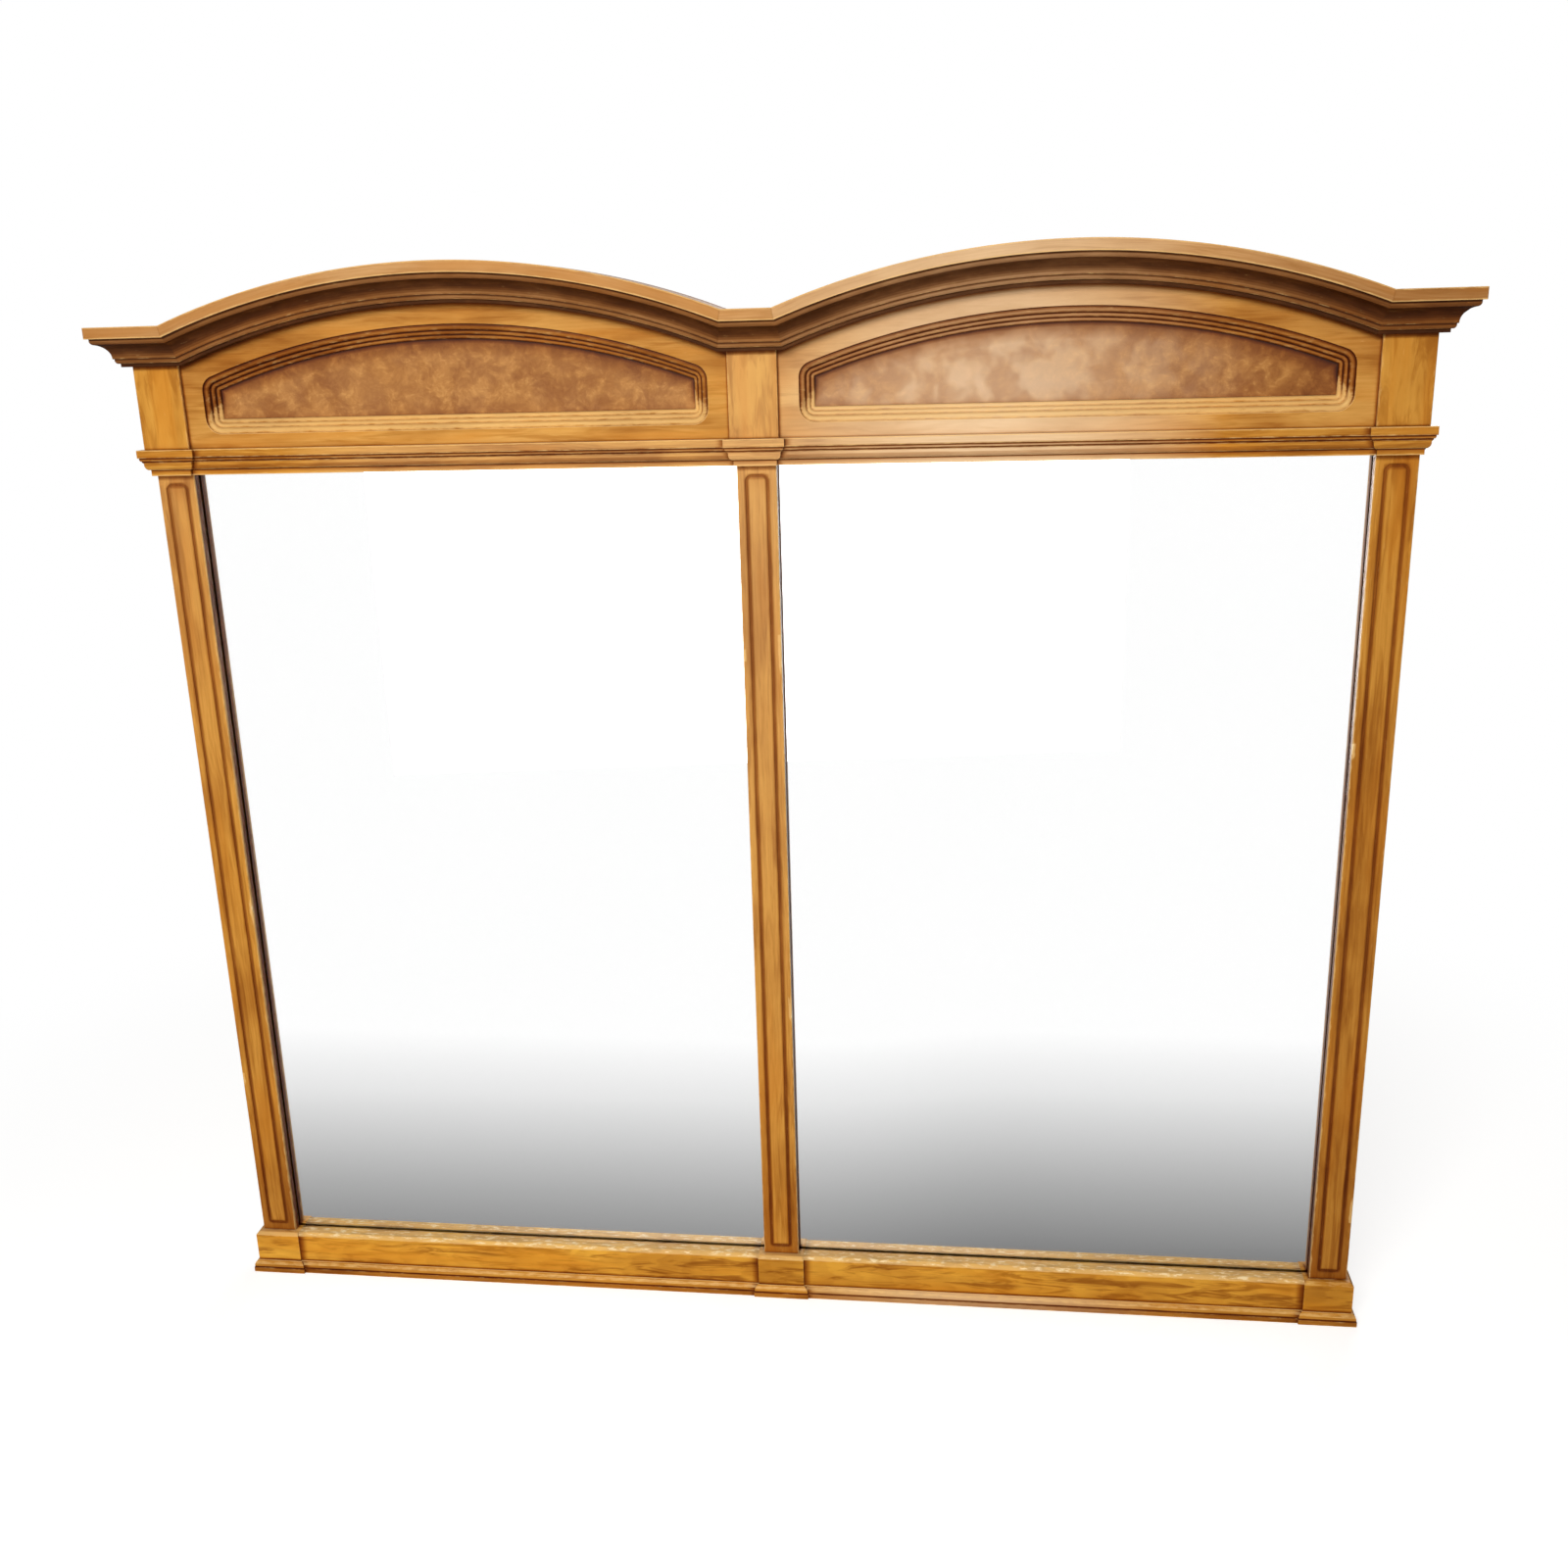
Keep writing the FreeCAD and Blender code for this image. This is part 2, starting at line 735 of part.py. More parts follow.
def mitred_length(name, profile, start, stop, spread, face, reach, top, back):
    """A length along X. spread is 1 round a block, where its front is the longer side, and
    -1 between two blocks, where its front is the shorter one."""
    front = face - reach
    bar = along_x(f"{name}_bar", closed(profile, front, 1, top, back), start - reach, stop + reach)
    plan = [
        (start - reach * spread, front),
        (stop + reach * spread, front),
        (stop, face),
        (stop, back + S["overrun"]),
        (start, back + S["overrun"]),
        (start, face),
    ]
    return mitred_to(name, bar, plan, profile, top)


def mitred_return(name, profile, side, outward, face, reach, top, back, cornered):
    """A length along Y on a block's side. outward is 1 on a right-hand side and -1 on a
    left-hand one. A cornered one ends in a second mitre, and any other one square."""
    edge = side + reach * outward
    bar = along_y(f"{name}_bar", closed(profile, edge, -outward, top, side), face - reach, back)
    end = back - reach if cornered else back
    plan = [(side, face), (edge, face - reach), (edge, end), (side, back)]
    return mitred_to(name, bar, plan, profile, top)


def moulded_block(label, profile, half, face, reach, top, back):
    """The mouldings on the fronts of the three blocks that stand half wide of their middles."""
    piece(f"{label}_centre", mitred_length(f"{label}_middle", profile, -half, half, 1, face,
                                           reach, top, back))
    piece_and_twin(label, mitred_length(f"{label}_outer", profile, SPACING - half, SPACING + half,
                                        1, face, reach, top, back))


def moulded_returns(label, profile, half, face, reach, top, corner):
    """Returns down the blocks' sides: to the back outside, and into a corner in each bay."""
    outer, centre, inner = f"{label}_return", f"{label}_centre_return", f"{label}_inner_return"
    piece_and_twin(outer, mitred_return(f"{outer}_length", profile, SPACING + half, 1, face,
                                        reach, top, BACK, False))
    piece_and_twin(centre, mitred_return(f"{centre}_length", profile, half, 1, face, reach, top,
                                         corner, True))
    piece_and_twin(inner, mitred_return(f"{inner}_length", profile, SPACING - half, -1, face,
                                        reach, top, corner, True))


# Base moulding: lengths along the rails, and mitred round the plinths
BASE = base_profile()
BASE_REACH = S["base_lip"] + BASE[0][0]
BASE_TOP = S["base_height"]

piece_and_twin("base_moulding_rail", mitred_length(
    "base_run", BASE, RAIL_START, RAIL_END, -1, RAIL_FACE, BASE_REACH, BASE_TOP, RAIL_FACE))
moulded_block("base_moulding_front", BASE, PLINTH_HALF, PLINTH_FACE, BASE_REACH, BASE_TOP,
              PLINTH_FACE)
moulded_returns("base_moulding", BASE, PLINTH_HALF, PLINTH_FACE, BASE_REACH, BASE_TOP, RAIL_FACE)

# String rail over each glass, with the capital moulding worked on its front
CAPITAL = capital_profile()
CAPITAL_REACH = BLOCK_HALF - POST_HALF + S["capital_overhang"]
CAPITAL_FACE = BLOCK_FACE - S["capital_overhang"] + CAPITAL_REACH
STRING_FACE = BOARD_FACE - S["capital_overhang"] + CAPITAL_REACH

string_length = mitred_length("string_length", CAPITAL, POST_HALF, SPACING - POST_HALF, -1,
                              STRING_FACE, CAPITAL_REACH, CAPITAL_TOP, BACK)
piece_and_twin("string_rail", cut("string_rail_right", string_length,
                                  rebate_right, sockets_right, screws_right))
moulded_block("capital_front", CAPITAL, POST_HALF, CAPITAL_FACE, CAPITAL_REACH, CAPITAL_TOP,
              POST_FACE)
moulded_returns("capital", CAPITAL, POST_HALF, CAPITAL_FACE, CAPITAL_REACH, CAPITAL_TOP,
                STRING_FACE)

# Frieze blocks over the pilasters
block_centre = box("centre_block", (-BLOCK_HALF, BLOCK_FACE, CAPITAL_TOP),
                   (BLOCK_HALF, BACK, CROWN_TOP))
block_right = box("right_block", (SPACING - BLOCK_HALF, BLOCK_FACE, CAPITAL_TOP),
                  (SPACING + BLOCK_HALF, BACK, CROWN_TOP))
piece("frieze_block_centre", cut("frieze_block_centre", block_centre,
                                 sockets_right, sockets_left, sockets_middle))
piece_and_twin("frieze_block", cut("frieze_block_right", block_right, sockets_right))


def recess_loop(inset):
    """Outline of the recess, drawn in by inset: an arched panel with rounded corners."""
    half = BAY_HALF - S["recess_side_margin"] - inset
    low = CAPITAL_TOP + S["recess_foot_margin"] + inset
    arch = CROWN_FOOT_RADIUS - S["recess_head_margin"] - inset
    corner = S["recess_corner_radius"] - inset
    across = half - corner
    up = root((arch - corner) * (arch - corner) - across * across)
    stretch = arch / (arch - corner)
    shoulder = ARCH_CENTRE + up
    head_across, head = across * stretch, ARCH_CENTRE + up * stretch
    middle = BAY_MIDDLE
    return [
        (middle - across, low),
        (middle + across, low, corner),
        (middle + half, low + corner),
        (middle + half, shoulder, corner),
        (middle + head_across, head, arch),
        (middle - head_across, head, corner),
        (middle - half, shoulder),
        (middle - half, low + corner, corner),
    ]


def rim_edges(shape, level):
    """Edges of the opening in the face that looks forward at this level."""
    names = []
    for face in shape.Faces:
        bounds = face.BoundBox
        if len(face.Wires) < 2 or not near(bounds.YMin, level) or not near(bounds.YMax, level):
            continue
        inner = [edge for wire in face.Wires if not wire.isSame(face.OuterWire)
                 for edge in wire.Edges]
        for number, edge in enumerate(shape.Edges, start=1):
            if any(edge.isSame(other) for other in inner):
                names.append(f"Edge{number}")
    return names


# The recess steps down from a quirk, past a rounded band and then past reeds. Each step has
# its inset from the recess's outline and its depth under the board's face.
recess_steps = [(ZERO, S["recess_quirk_depth"])]
recess_steps.append((S["recess_band_width"], S["recess_quirk_depth"] + S["recess_band_drop"]))
for number in range(RECESS_REEDS):
    inset, depth = recess_steps[-1]
    recess_steps.append((inset + S["recess_reed_width"], depth + S["recess_reed_drop"]))
FLOOR_INSET, BURL_DEPTH = recess_steps[-1]
BURL_FACE = BOARD_FACE + BURL_DEPTH
BURL_INSET = FLOOR_INSET + S["burl_clearance"]
recess_steps[-1] = (FLOOR_INSET, BURL_DEPTH + S["burl_thickness"])


def rounded_rims(name, body, solid, steps, radius):
    """Rounds the inner rim of each step's tread."""
    doc.recompute()
    rims = []
    for inset, depth in steps:
        rims += rim_edges(solid.Shape, (BOARD_FACE + depth).value)
    rounded = body.newObject("PartDesign::Fillet", name)
    rounded.Base = (solid, rims)
    bind(rounded, "Radius", radius)
    return rounded


def frieze_board():
    """A board with an arched top and a recess that steps down to the burl panel."""
    left, right = BAY_MIDDLE - BAY_HALF, BAY_MIDDLE + BAY_HALF
    outline = [
        (left, CAPITAL_TOP),
        (right, CAPITAL_TOP),
        (right, CROWN_TOP, ARCH_RADIUS),
        (left, CROWN_TOP),
    ]
    body = along_y("frieze_panel", outline, BOARD_FACE, BOARD_FACE + S["board_thickness"])
    for number, (inset, depth) in enumerate(recess_steps):
        pocket = body.newObject("PartDesign::Pocket", f"recess_{number}")
        pocket.Profile = sketch_on(body, f"recess_{number}_sketch", "XZ_Plane",
                                   [recess_loop(inset)], -BOARD_FACE)
        bind(pocket, "Length", depth)
        doc.recompute()
    band = rounded_rims("recess_band_rim", body, pocket, recess_steps[:1], S["recess_band_round"])
    rounded_rims("recess_reed_rims", body, band, recess_steps[1:-1], S["recess_reed_round"])
    return body


def crown_screw_places():
    """Screws along the arch, spread evenly about its crown."""
    radius = ARCH_RADIUS - S["crown_screw_drop"]
    back = BOARD_FACE + S["board_thickness"]
    places = []
    for number in range(ARCH_SCREWS):
        across = S["crown_screw_spacing"] * (number - (ARCH_SCREWS - 1) / 2)
        level = ARCH_CENTRE + root(radius * radius - across * across)
        places.append((BAY_MIDDLE + across, back, level))
    return places


crown_screws = []
for number, place in enumerate(crown_screw_places(), start=1):
    crown_screws.append(screw(f"crown_screw_{number}", place,
                              S["crown_screw_head"], S["crown_screw_head_height"],
                              S["crown_screw_diameter"],
                              S["board_thickness"] + S["crown_screw_bite"],
                              S["crown_screw_point"]))
crown_screws_right = group("crown_screws_right", crown_screws)
piece("crown_screws", group("crown_screws", [
    crown_screws_right, mirrored("crown_screws_left", crown_screws_right)]))

piece_and_twin("frieze_board", cut("frieze_board_right", frieze_board(),
                                   sockets_right, crown_screws_right))
piece_and_twin("burl_panel", along_y("burl_panel_right", recess_loop(BURL_INSET),
                                     BURL_FACE, BURL_FACE + S["burl_thickness"]))

# Crown moulding: an arch over each bay, flat lengths over the blocks and returns at the ends
CROWN = crown_profile()
CROWN_SECTION = closed(CROWN, CROWN_FACE, 1, CROWN_TOP, BOARD_FACE)
CROWN_END = SPACING + BLOCK_HALF


def arch_mitres():
    """The space between the two mitres of the right-hand arch."""
    lean = (BAY_HALF - MITRE_FOOT_HALF) / S["crown_height"]
    low = CROWN_FOOT - S["overrun"]
    high = CROWN_TOP + S["arch_rise"] + S["overrun"]
    low_half = MITRE_FOOT_HALF + lean * (low - CROWN_FOOT)
    high_half = MITRE_FOOT_HALF + lean * (high - CROWN_FOOT)
    corners = [
        (BAY_MIDDLE - low_half, low),
        (BAY_MIDDLE + low_half, low),
        (BAY_MIDDLE + high_half, high),
        (BAY_MIDDLE - high_half, high),
    ]
    return along_y("arch_mitres", corners, CROWN_FACE - S["overrun"], BACK + S["overrun"])


def arch_sweep():
    """The crown's section turned about the arch's centre."""
    section = doc.addObject("Sketcher::SketchObject", "arch_section")
    section.Placement = FreeCAD.Placement(FreeCAD.Vector(), FreeCAD.Rotation(
        FreeCAD.Vector(0, 1, 0), FreeCAD.Vector(0, 0, 1), FreeCAD.Vector(1, 0, 0)))
    raised = closed(CROWN, CROWN_FACE, 1, CROWN_TOP + S["arch_rise"], BOARD_FACE)
    draw(section, raised)
    bind(section, "Placement.Base.x", BAY_MIDDLE)
    sweep = doc.addObject("Part::Revolution", "arch_sweep")
    sweep.Source = section
    sweep.Axis = FreeCAD.Vector(0, 1, 0)
    bind(sweep, "Base.x", BAY_MIDDLE)
    bind(sweep, "Base.z", ARCH_CENTRE)
    sweep.Angle = ARCH_SWEEP
    sweep.Symmetric = True
    sweep.Solid = True
    return sweep


mitres_right = arch_mitres()
mitres_left = mirrored("mitres_left", mitres_right)
arch = common("arch_length", arch_sweep(), mitres_right)
piece_and_twin("crown_arch", cut("crown_arch_right", arch, crown_screws_right))

flat_bar = along_x("crown_flat_bar", CROWN_SECTION, -BAY_MIDDLE, BAY_MIDDLE)
piece("crown_flat_centre", cut("crown_flat_centre", flat_bar,
                               mitres_right, mitres_left, block_centre))

end_bar = along_x("crown_end_bar", CROWN_SECTION, BAY_MIDDLE, CROWN_END + S["crown_overhang"])
end_plan = [
    (BAY_MIDDLE, CROWN_FACE),
    (CROWN_END + S["crown_overhang"], CROWN_FACE),
    (CROWN_END, BLOCK_FACE),
    (CROWN_END, BOARD_FACE + S["overrun"]),
    (BAY_MIDDLE, BOARD_FACE + S["overrun"]),
]
end_mitre = along_z("crown_end_mitre", end_plan, CROWN_FOOT - S["overrun"],
                    CROWN_TOP + S["overrun"])
piece_and_twin("crown_flat", cut("crown_flat_right", common("crown_end", end_bar, end_mitre),
                                 mitres_right, block_right))
piece_and_twin("crown_return", mitred_return(
    "crown_return_length", CROWN, CROWN_END, 1, BLOCK_FACE, S["crown_overhang"], CROWN_TOP, BACK,
    False))

# Glass and backing board in their rebates
GLASS_HALF = BAY_MIDDLE - POST_HALF + S["glass_rebate"] - S["glass_clearance"]
GLASS_FOOT = POST_FOOT - S["glass_rebate"]
GLASS_TOP = OPENING_TOP + S["glass_rebate"] - S["glass_clearance"]
piece_and_twin("mirror_glass", box("mirror_glass_right",
                                   (BAY_MIDDLE - GLASS_HALF, GLASS_FACE, GLASS_FOOT),
                                   (BAY_MIDDLE + GLASS_HALF, GLASS_BACK, GLASS_TOP)))
BACKING_MARGIN = S["backing_rebate"] - S["backing_clearance"]
BACKING_HALF = BAY_MIDDLE - POST_HALF + BACKING_MARGIN
backing = box("backing", (BAY_MIDDLE - BACKING_HALF, GLASS_BACK, POST_FOOT - BACKING_MARGIN),
              (BAY_MIDDLE + BACKING_HALF, GLASS_BACK + S["backing_thickness"],
               OPENING_TOP + BACKING_MARGIN))
piece_and_twin("backing_board", cut("backing_board_right", backing, screws_right))

doc.recompute()
for thing in doc.Objects:
    if "Invalid" in thing.State or "Error" in thing.State:
        raise RuntimeError(f"{thing.Label} failed: {thing.State}")
for solid in pieces:
    if solid.Shape.isNull() or not solid.Shape.isValid():
        raise RuntimeError(f"{solid.Label} has no valid shape")

os.makedirs("parts", exist_ok=True)
for solid in pieces:
    solid.Shape.exportStep(f"parts/{solid.Label}.step")
    bounds = solid.Shape.BoundBox
    print(f"{solid.Label}: {len(solid.Shape.Solids)} solid(s), {solid.Shape.Volume / 1000:.1f} cm3,"
          f" x {bounds.XMin:.1f} to {bounds.XMax:.1f}, y {bounds.YMin:.1f} to {bounds.YMax:.1f},"
          f" z {bounds.ZMin:.1f} to {bounds.ZMax:.1f}")
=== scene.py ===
import math

import bmesh
import bpy
from mathutils import Euler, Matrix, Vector


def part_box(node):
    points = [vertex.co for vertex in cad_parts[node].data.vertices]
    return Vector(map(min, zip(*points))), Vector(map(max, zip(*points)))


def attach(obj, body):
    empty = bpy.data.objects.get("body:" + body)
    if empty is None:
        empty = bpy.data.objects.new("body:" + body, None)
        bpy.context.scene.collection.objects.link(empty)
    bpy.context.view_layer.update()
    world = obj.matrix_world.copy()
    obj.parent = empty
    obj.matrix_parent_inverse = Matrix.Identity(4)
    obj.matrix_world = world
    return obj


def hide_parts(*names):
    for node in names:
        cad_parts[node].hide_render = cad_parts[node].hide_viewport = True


bl_info = {
    "name": "Landscape Dresser Mirror",
    "version": (1, 0, 0),
    "blender": (4, 5, 0),
    "location": "View3D > Sidebar > Dresser Mirror",
    "description": "Builds the moulded frame, burl panels, glass and stage of a dresser mirror",
    "category": "Object",
}

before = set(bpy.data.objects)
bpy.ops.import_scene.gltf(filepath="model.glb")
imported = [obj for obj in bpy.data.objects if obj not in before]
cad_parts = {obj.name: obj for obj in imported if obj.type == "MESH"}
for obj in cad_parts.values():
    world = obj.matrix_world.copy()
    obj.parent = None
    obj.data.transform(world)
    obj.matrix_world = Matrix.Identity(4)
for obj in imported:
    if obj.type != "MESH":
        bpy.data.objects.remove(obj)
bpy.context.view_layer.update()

MM = 0.001


def node_span(node, axis):
    """Lowest and highest place of a CAD node along x, y or z."""
    low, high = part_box(node)
    index = "xyz".index(axis)
    return low[index], high[index]


# Planes and sizes that the CAD nodes give
POST_FACE, BACK = node_span("post_right", "y")
POST_LEFT, POST_RIGHT = node_span("post_right", "x")
SPACING = (POST_LEFT + POST_RIGHT) / 2
POST_HALF = (POST_RIGHT - POST_LEFT) / 2
POST_FOOT, CAPITAL_TOP = node_span("post_right", "z")
BLOCK_FACE = node_span("frieze_block_right", "y")[0]
BLOCK_HALF = node_span("frieze_block_centre", "x")[1]
CROWN_TOP = node_span("frieze_block_right", "z")[1]
BOARD_FACE, BOARD_BACK = node_span("frieze_board_right", "y")
PLINTH_FACE = node_span("plinth_block_right", "y")[0]
PLINTH_HALF = node_span("plinth_block_centre", "x")[1]
RAIL_FACE = node_span("bottom_rail_right", "y")[0]
GLASS_FACE, GLASS_BACK = node_span("mirror_glass_right", "y")
CROWN_FACE = node_span("crown_flat_right", "y")[0]
BASE_TOP = node_span("base_moulding_rail_right", "z")[1]
BURL_FACE, BURL_BACK = node_span("burl_panel_right", "y")
OPENING_TOP = node_span("capital_front_right", "z")[0]
CROWN_FOOT = node_span("crown_flat_right", "z")[0]
CROWN_HEIGHT = CROWN_TOP - CROWN_FOOT
BAY_MIDDLE = SPACING / 2
BAY_HALF = BAY_MIDDLE - BLOCK_HALF

# Sizes that the CAD nodes don't give by themselves
GLASS_REBATE = 8 * MM
BACKING_REBATE = 16 * MM
RAIL_CHAMFER = 3.5 * MM
# Degrees by which an edge turns at least to stay sharp, a profile's corner to be rounded,
# and an edge of a CAD node's copy to be softened
SHARP_ANGLE = 40.0
ROUND_ANGLE = 24.0
WORKED_ANGLE = 28.0
# Longest run in a bend, and points on a rounded corner
BEND_STEP = 0.9 * MM
ROUND_POINTS = 5
# How far wear and painted highlight reach from an edge, and glazing and painted shade from a hollow
# corner in millimetres
EDGE_PALE_REACH = 1.5 * MM
HOLLOW_DARK_REACH = 3.2
# Points of a CAD node that lie closer are one
DOUBLES = 0.00002

# Painted light makes the right bay paler round a middle along X, as a pool of light. Towards
# the mirror's two ends painted shade makes the staining deeper, from a distance to the middle on.
LIT_POOL_MIDDLE, LIT_POOL_REACH = 0.26, 0.34
END_SHADE_FROM, END_SHADE_RUN = 0.42, 0.24
# The burl's stored value where painted light hardly pales it and painted shade does not yet deepen
# it
PLAIN_BURL = 0.86

# Profiles in millimetres: (name, run inwards, drop, radius of the bend). A bend above zero
# is round and one below zero is hollow.
CROWN_STEPS = (
    ("fillet", 0.0, 13.2, 0.0),
    ("quirk", 4.0, 0.0, 0.0),
    ("quirk wall", 0.0, 2.4, 0.0),
    ("lip", 2.8, 4.2, 4.6),
    ("cove", 14.0, 15.6, -16.5),
    ("listel", 0.0, 1.2, 0.0),
    ("step", 1.6, 0.0, 0.0),
    ("step wall", 0.0, 1.6, 0.0),
    ("bead", 2.2, 3.8, 4.4),
    ("foot step", 2.4, 0.0, 0.0),
    ("foot", 0.0, 4.0, 0.0),
)
CAPITAL_STEPS = (
    ("fillet", 0.0, 9.6, 0.0),
    ("quirk", 1.6, 0.0, 0.0),
    ("listel", 0.0, 1.4, 0.0),
    ("bead", 1.0, 2.4, 3.2),
    ("step", 1.0, 0.0, 0.0),
    ("second listel", 0.0, 1.4, 0.0),
    ("cove", 1.5, 2.2, -2.4),
    ("third listel", 0.0, 1.4, 0.0),
    ("round", 3.3, 5.8, 6.7),
    ("foot step", 2.0, 0.0, 0.0),
    ("foot", 0.0, 7.3, 0.0),
)
BASE_STEPS = (
    ("round", -4.2, 9.5, 8.5),
    ("shelf", -1.0, 0.0, 0.0),
    ("fillet", 0.0, 7.5, 0.0),
)
# Rounded steps of the frieze boards' recess in millimetres: inset of the hollow in which each
# starts, its depth there, the width and drop of its round, and how flat its top is
RECESS_ROUNDS = (
    ("band", 0.0, 1.5, 7.0, 4.5, 3.0),
    ("first reed", 7.0, 6.0, 5.0, 3.75, 1.4),
    ("second reed", 12.0, 9.75, 5.0, 3.75, 1.4),
)
RECESS_FLOOR = (RECESS_ROUNDS[-1][1] + RECESS_ROUNDS[-1][3]) * MM

# Painted shade with glazing on the crown, darkest under the fillet, in the cove and at the foot:
# from and to so many millimetres under its top edge, and coats
CROWN_SHADE_COATS = (
    (13.3, 15.5, 1.2),
    (15.6, 19.5, 0.55),
    (19.6, 28.5, 1.28),
    (28.6, 31.0, 1.05),
    (31.1, 33.3, 0.75),
    (33.4, 35.5, 0.45),
    (38.3, 42.0, 0.42),
    (42.1, 46.1, 1.45),
)
# Painted shadow line along the burl panels' edges, strongest under the head: distance from the
# panel's edge in metres, and coats
BURL_EDGE_SHADE = ((0.0, 1.5), (0.001, 1.25), (0.0022, 0.75), (0.005, 0.36), (0.011, 0.20),
              (0.019, 0.05))
# A faint dark line where two lengths of the crown meet
JOINT_LINE = {"end_glaze": 0.16, "end_reach": 0.0012}


class MirrorShape(bpy.types.PropertyGroup):
    """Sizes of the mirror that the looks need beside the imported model."""

    arris: bpy.props.FloatProperty(
        name="Arris", description="Softening of the mouldings' edges",
        default=0.0005, min=0.0001, max=0.002, unit="LENGTH")
    block_arris: bpy.props.FloatProperty(
        name="Block arris", description="Softening of the edges of blocks, plinths and rails",
        default=0.0009, min=0.0001, max=0.003, unit="LENGTH")
    arch_rise: bpy.props.FloatProperty(
        name="Arch rise", description="Height of each arch over the flat crown",
        default=0.062, min=0.01, max=0.2, unit="LENGTH")
    arch_steps: bpy.props.IntProperty(
        name="Arch steps", description="Lengths into which each arch is divided",
        default=110, min=12, max=300)
    capital_overhang: bpy.props.FloatProperty(
        name="Capital overhang", description="How far the capitals stand out from the blocks",
        default=0.007, min=0.0, max=0.03, unit="LENGTH")
    groove_margin: bpy.props.FloatProperty(
        name="Groove margin", description="From a post's side to the middle of its scratched line",
        default=0.011, min=0.002, max=0.02, unit="LENGTH")
    groove_end: bpy.props.FloatProperty(
        name="Groove end", description="From the opening's ends to the middle of the scratched line",
        default=0.012, min=0.002, max=0.05, unit="LENGTH")
    recess_side: bpy.props.FloatProperty(
        name="Recess side margin", description="From a board's end to its recess",
        default=0.0245, min=0.005, max=0.1, unit="LENGTH")
    recess_foot: bpy.props.FloatProperty(
        name="Recess foot margin", description="From a board's foot to its recess",
        default=0.017, min=0.005, max=0.1, unit="LENGTH")
    recess_head: bpy.props.FloatProperty(
        name="Recess head margin", description="From the crown's foot to the recess",
        default=0.023, min=0.005, max=0.1, unit="LENGTH")
    recess_corner: bpy.props.FloatProperty(
        name="Recess corner", description="Radius of the recess's corners",
        default=0.018, min=0.001, max=0.05, unit="LENGTH")
    silvering: bpy.props.FloatProperty(
        name="Silvering", description="Thickness of the silvered layer behind the glass",
        default=0.0004, min=0.0001, max=0.001, unit="LENGTH")


class MirrorFinish(bpy.types.PropertyGroup):
    """Colours and strengths of the mirror's finishes."""

    frame_light: bpy.props.FloatVectorProperty(
        name="Frame, light", description="Palest grain of the frame's wood",
        subtype="COLOR", size=3, min=0, max=1, default=(0.70, 0.345, 0.060))
    frame_dark: bpy.props.FloatVectorProperty(
        name="Frame, dark", description="Darkest grain of the frame's wood",
        subtype="COLOR", size=3, min=0, max=1, default=(0.27, 0.083, 0.007))
    rail_light: bpy.props.FloatVectorProperty(
        name="Rail, light", description="Palest grain of the rails and plinth blocks",
        subtype="COLOR", size=3, min=0, max=1, default=(0.84, 0.430, 0.052))
    frieze_light: bpy.props.FloatVectorProperty(
        name="Frieze, light", description="Palest grain of the frieze boards",
        subtype="COLOR", size=3, min=0, max=1, default=(0.71, 0.375, 0.095))
    frieze_dark: bpy.props.FloatVectorProperty(
        name="Frieze, dark", description="Darkest grain of the frieze boards",
        subtype="COLOR", size=3, min=0, max=1, default=(0.30, 0.100, 0.012))
    crown_light: bpy.props.FloatVectorProperty(
        name="Crown, light", description="Palest grain of the crown moulding",
        subtype="COLOR", size=3, min=0, max=1, default=(0.60, 0.330, 0.135))
    crown_dark: bpy.props.FloatVectorProperty(
        name="Crown, dark", description="Darkest grain of the crown moulding",
        subtype="COLOR", size=3, min=0, max=1, default=(0.33, 0.135, 0.035))
    burl_light: bpy.props.FloatVectorProperty(
        name="Burl, light", description="Golden clouds of the burl veneer",
        subtype="COLOR", size=3, min=0, max=1, default=(0.54, 0.25, 0.065))
    burl_dark: bpy.props.FloatVectorProperty(
        name="Burl, dark", description="Dark clouds of the burl veneer",
        subtype="COLOR", size=3, min=0, max=1, default=(0.26, 0.088, 0.018))
    # The glaze tints below also darken the painted shade in hollows, under overhangs and beside the
    # glass
    glaze: bpy.props.FloatVectorProperty(
        name="Glaze", description="What one full coat of the dark glaze lets through",
        subtype="COLOR", size=3, min=0.001, max=1, default=(0.19, 0.080, 0.034))
    crown_glaze_and_shade: bpy.props.FloatVectorProperty(
        name="Crown glaze", description="What one full coat of the crown's umber glaze lets through",
        subtype="COLOR", size=3, min=0.001, max=1, default=(0.20, 0.125, 0.080))
    glaze_and_shade_strength: bpy.props.FloatProperty(
        name="Glaze strength", description="How many coats of glaze are left in the corners",
        default=1.0, min=0, max=3)
    # The worn and bare colours below also paint highlights on lit edges, ledges and tops
    wear: bpy.props.FloatVectorProperty(
        name="Worn wood", description="Pale wood where the finish is rubbed through",
        subtype="COLOR", size=3, min=0, max=1, default=(0.92, 0.60, 0.23))
    bare_and_highlight: bpy.props.FloatVectorProperty(
        name="Bare wood", description="Cream wood where the finish is gone",
        subtype="COLOR", size=3, min=0, max=1, default=(0.97, 0.77, 0.44))
    wear_and_highlight_strength: bpy.props.FloatProperty(
        name="Wear strength", description="How far the finish is rubbed through on edges",
        subtype="FACTOR", default=0.75, min=0, max=1)


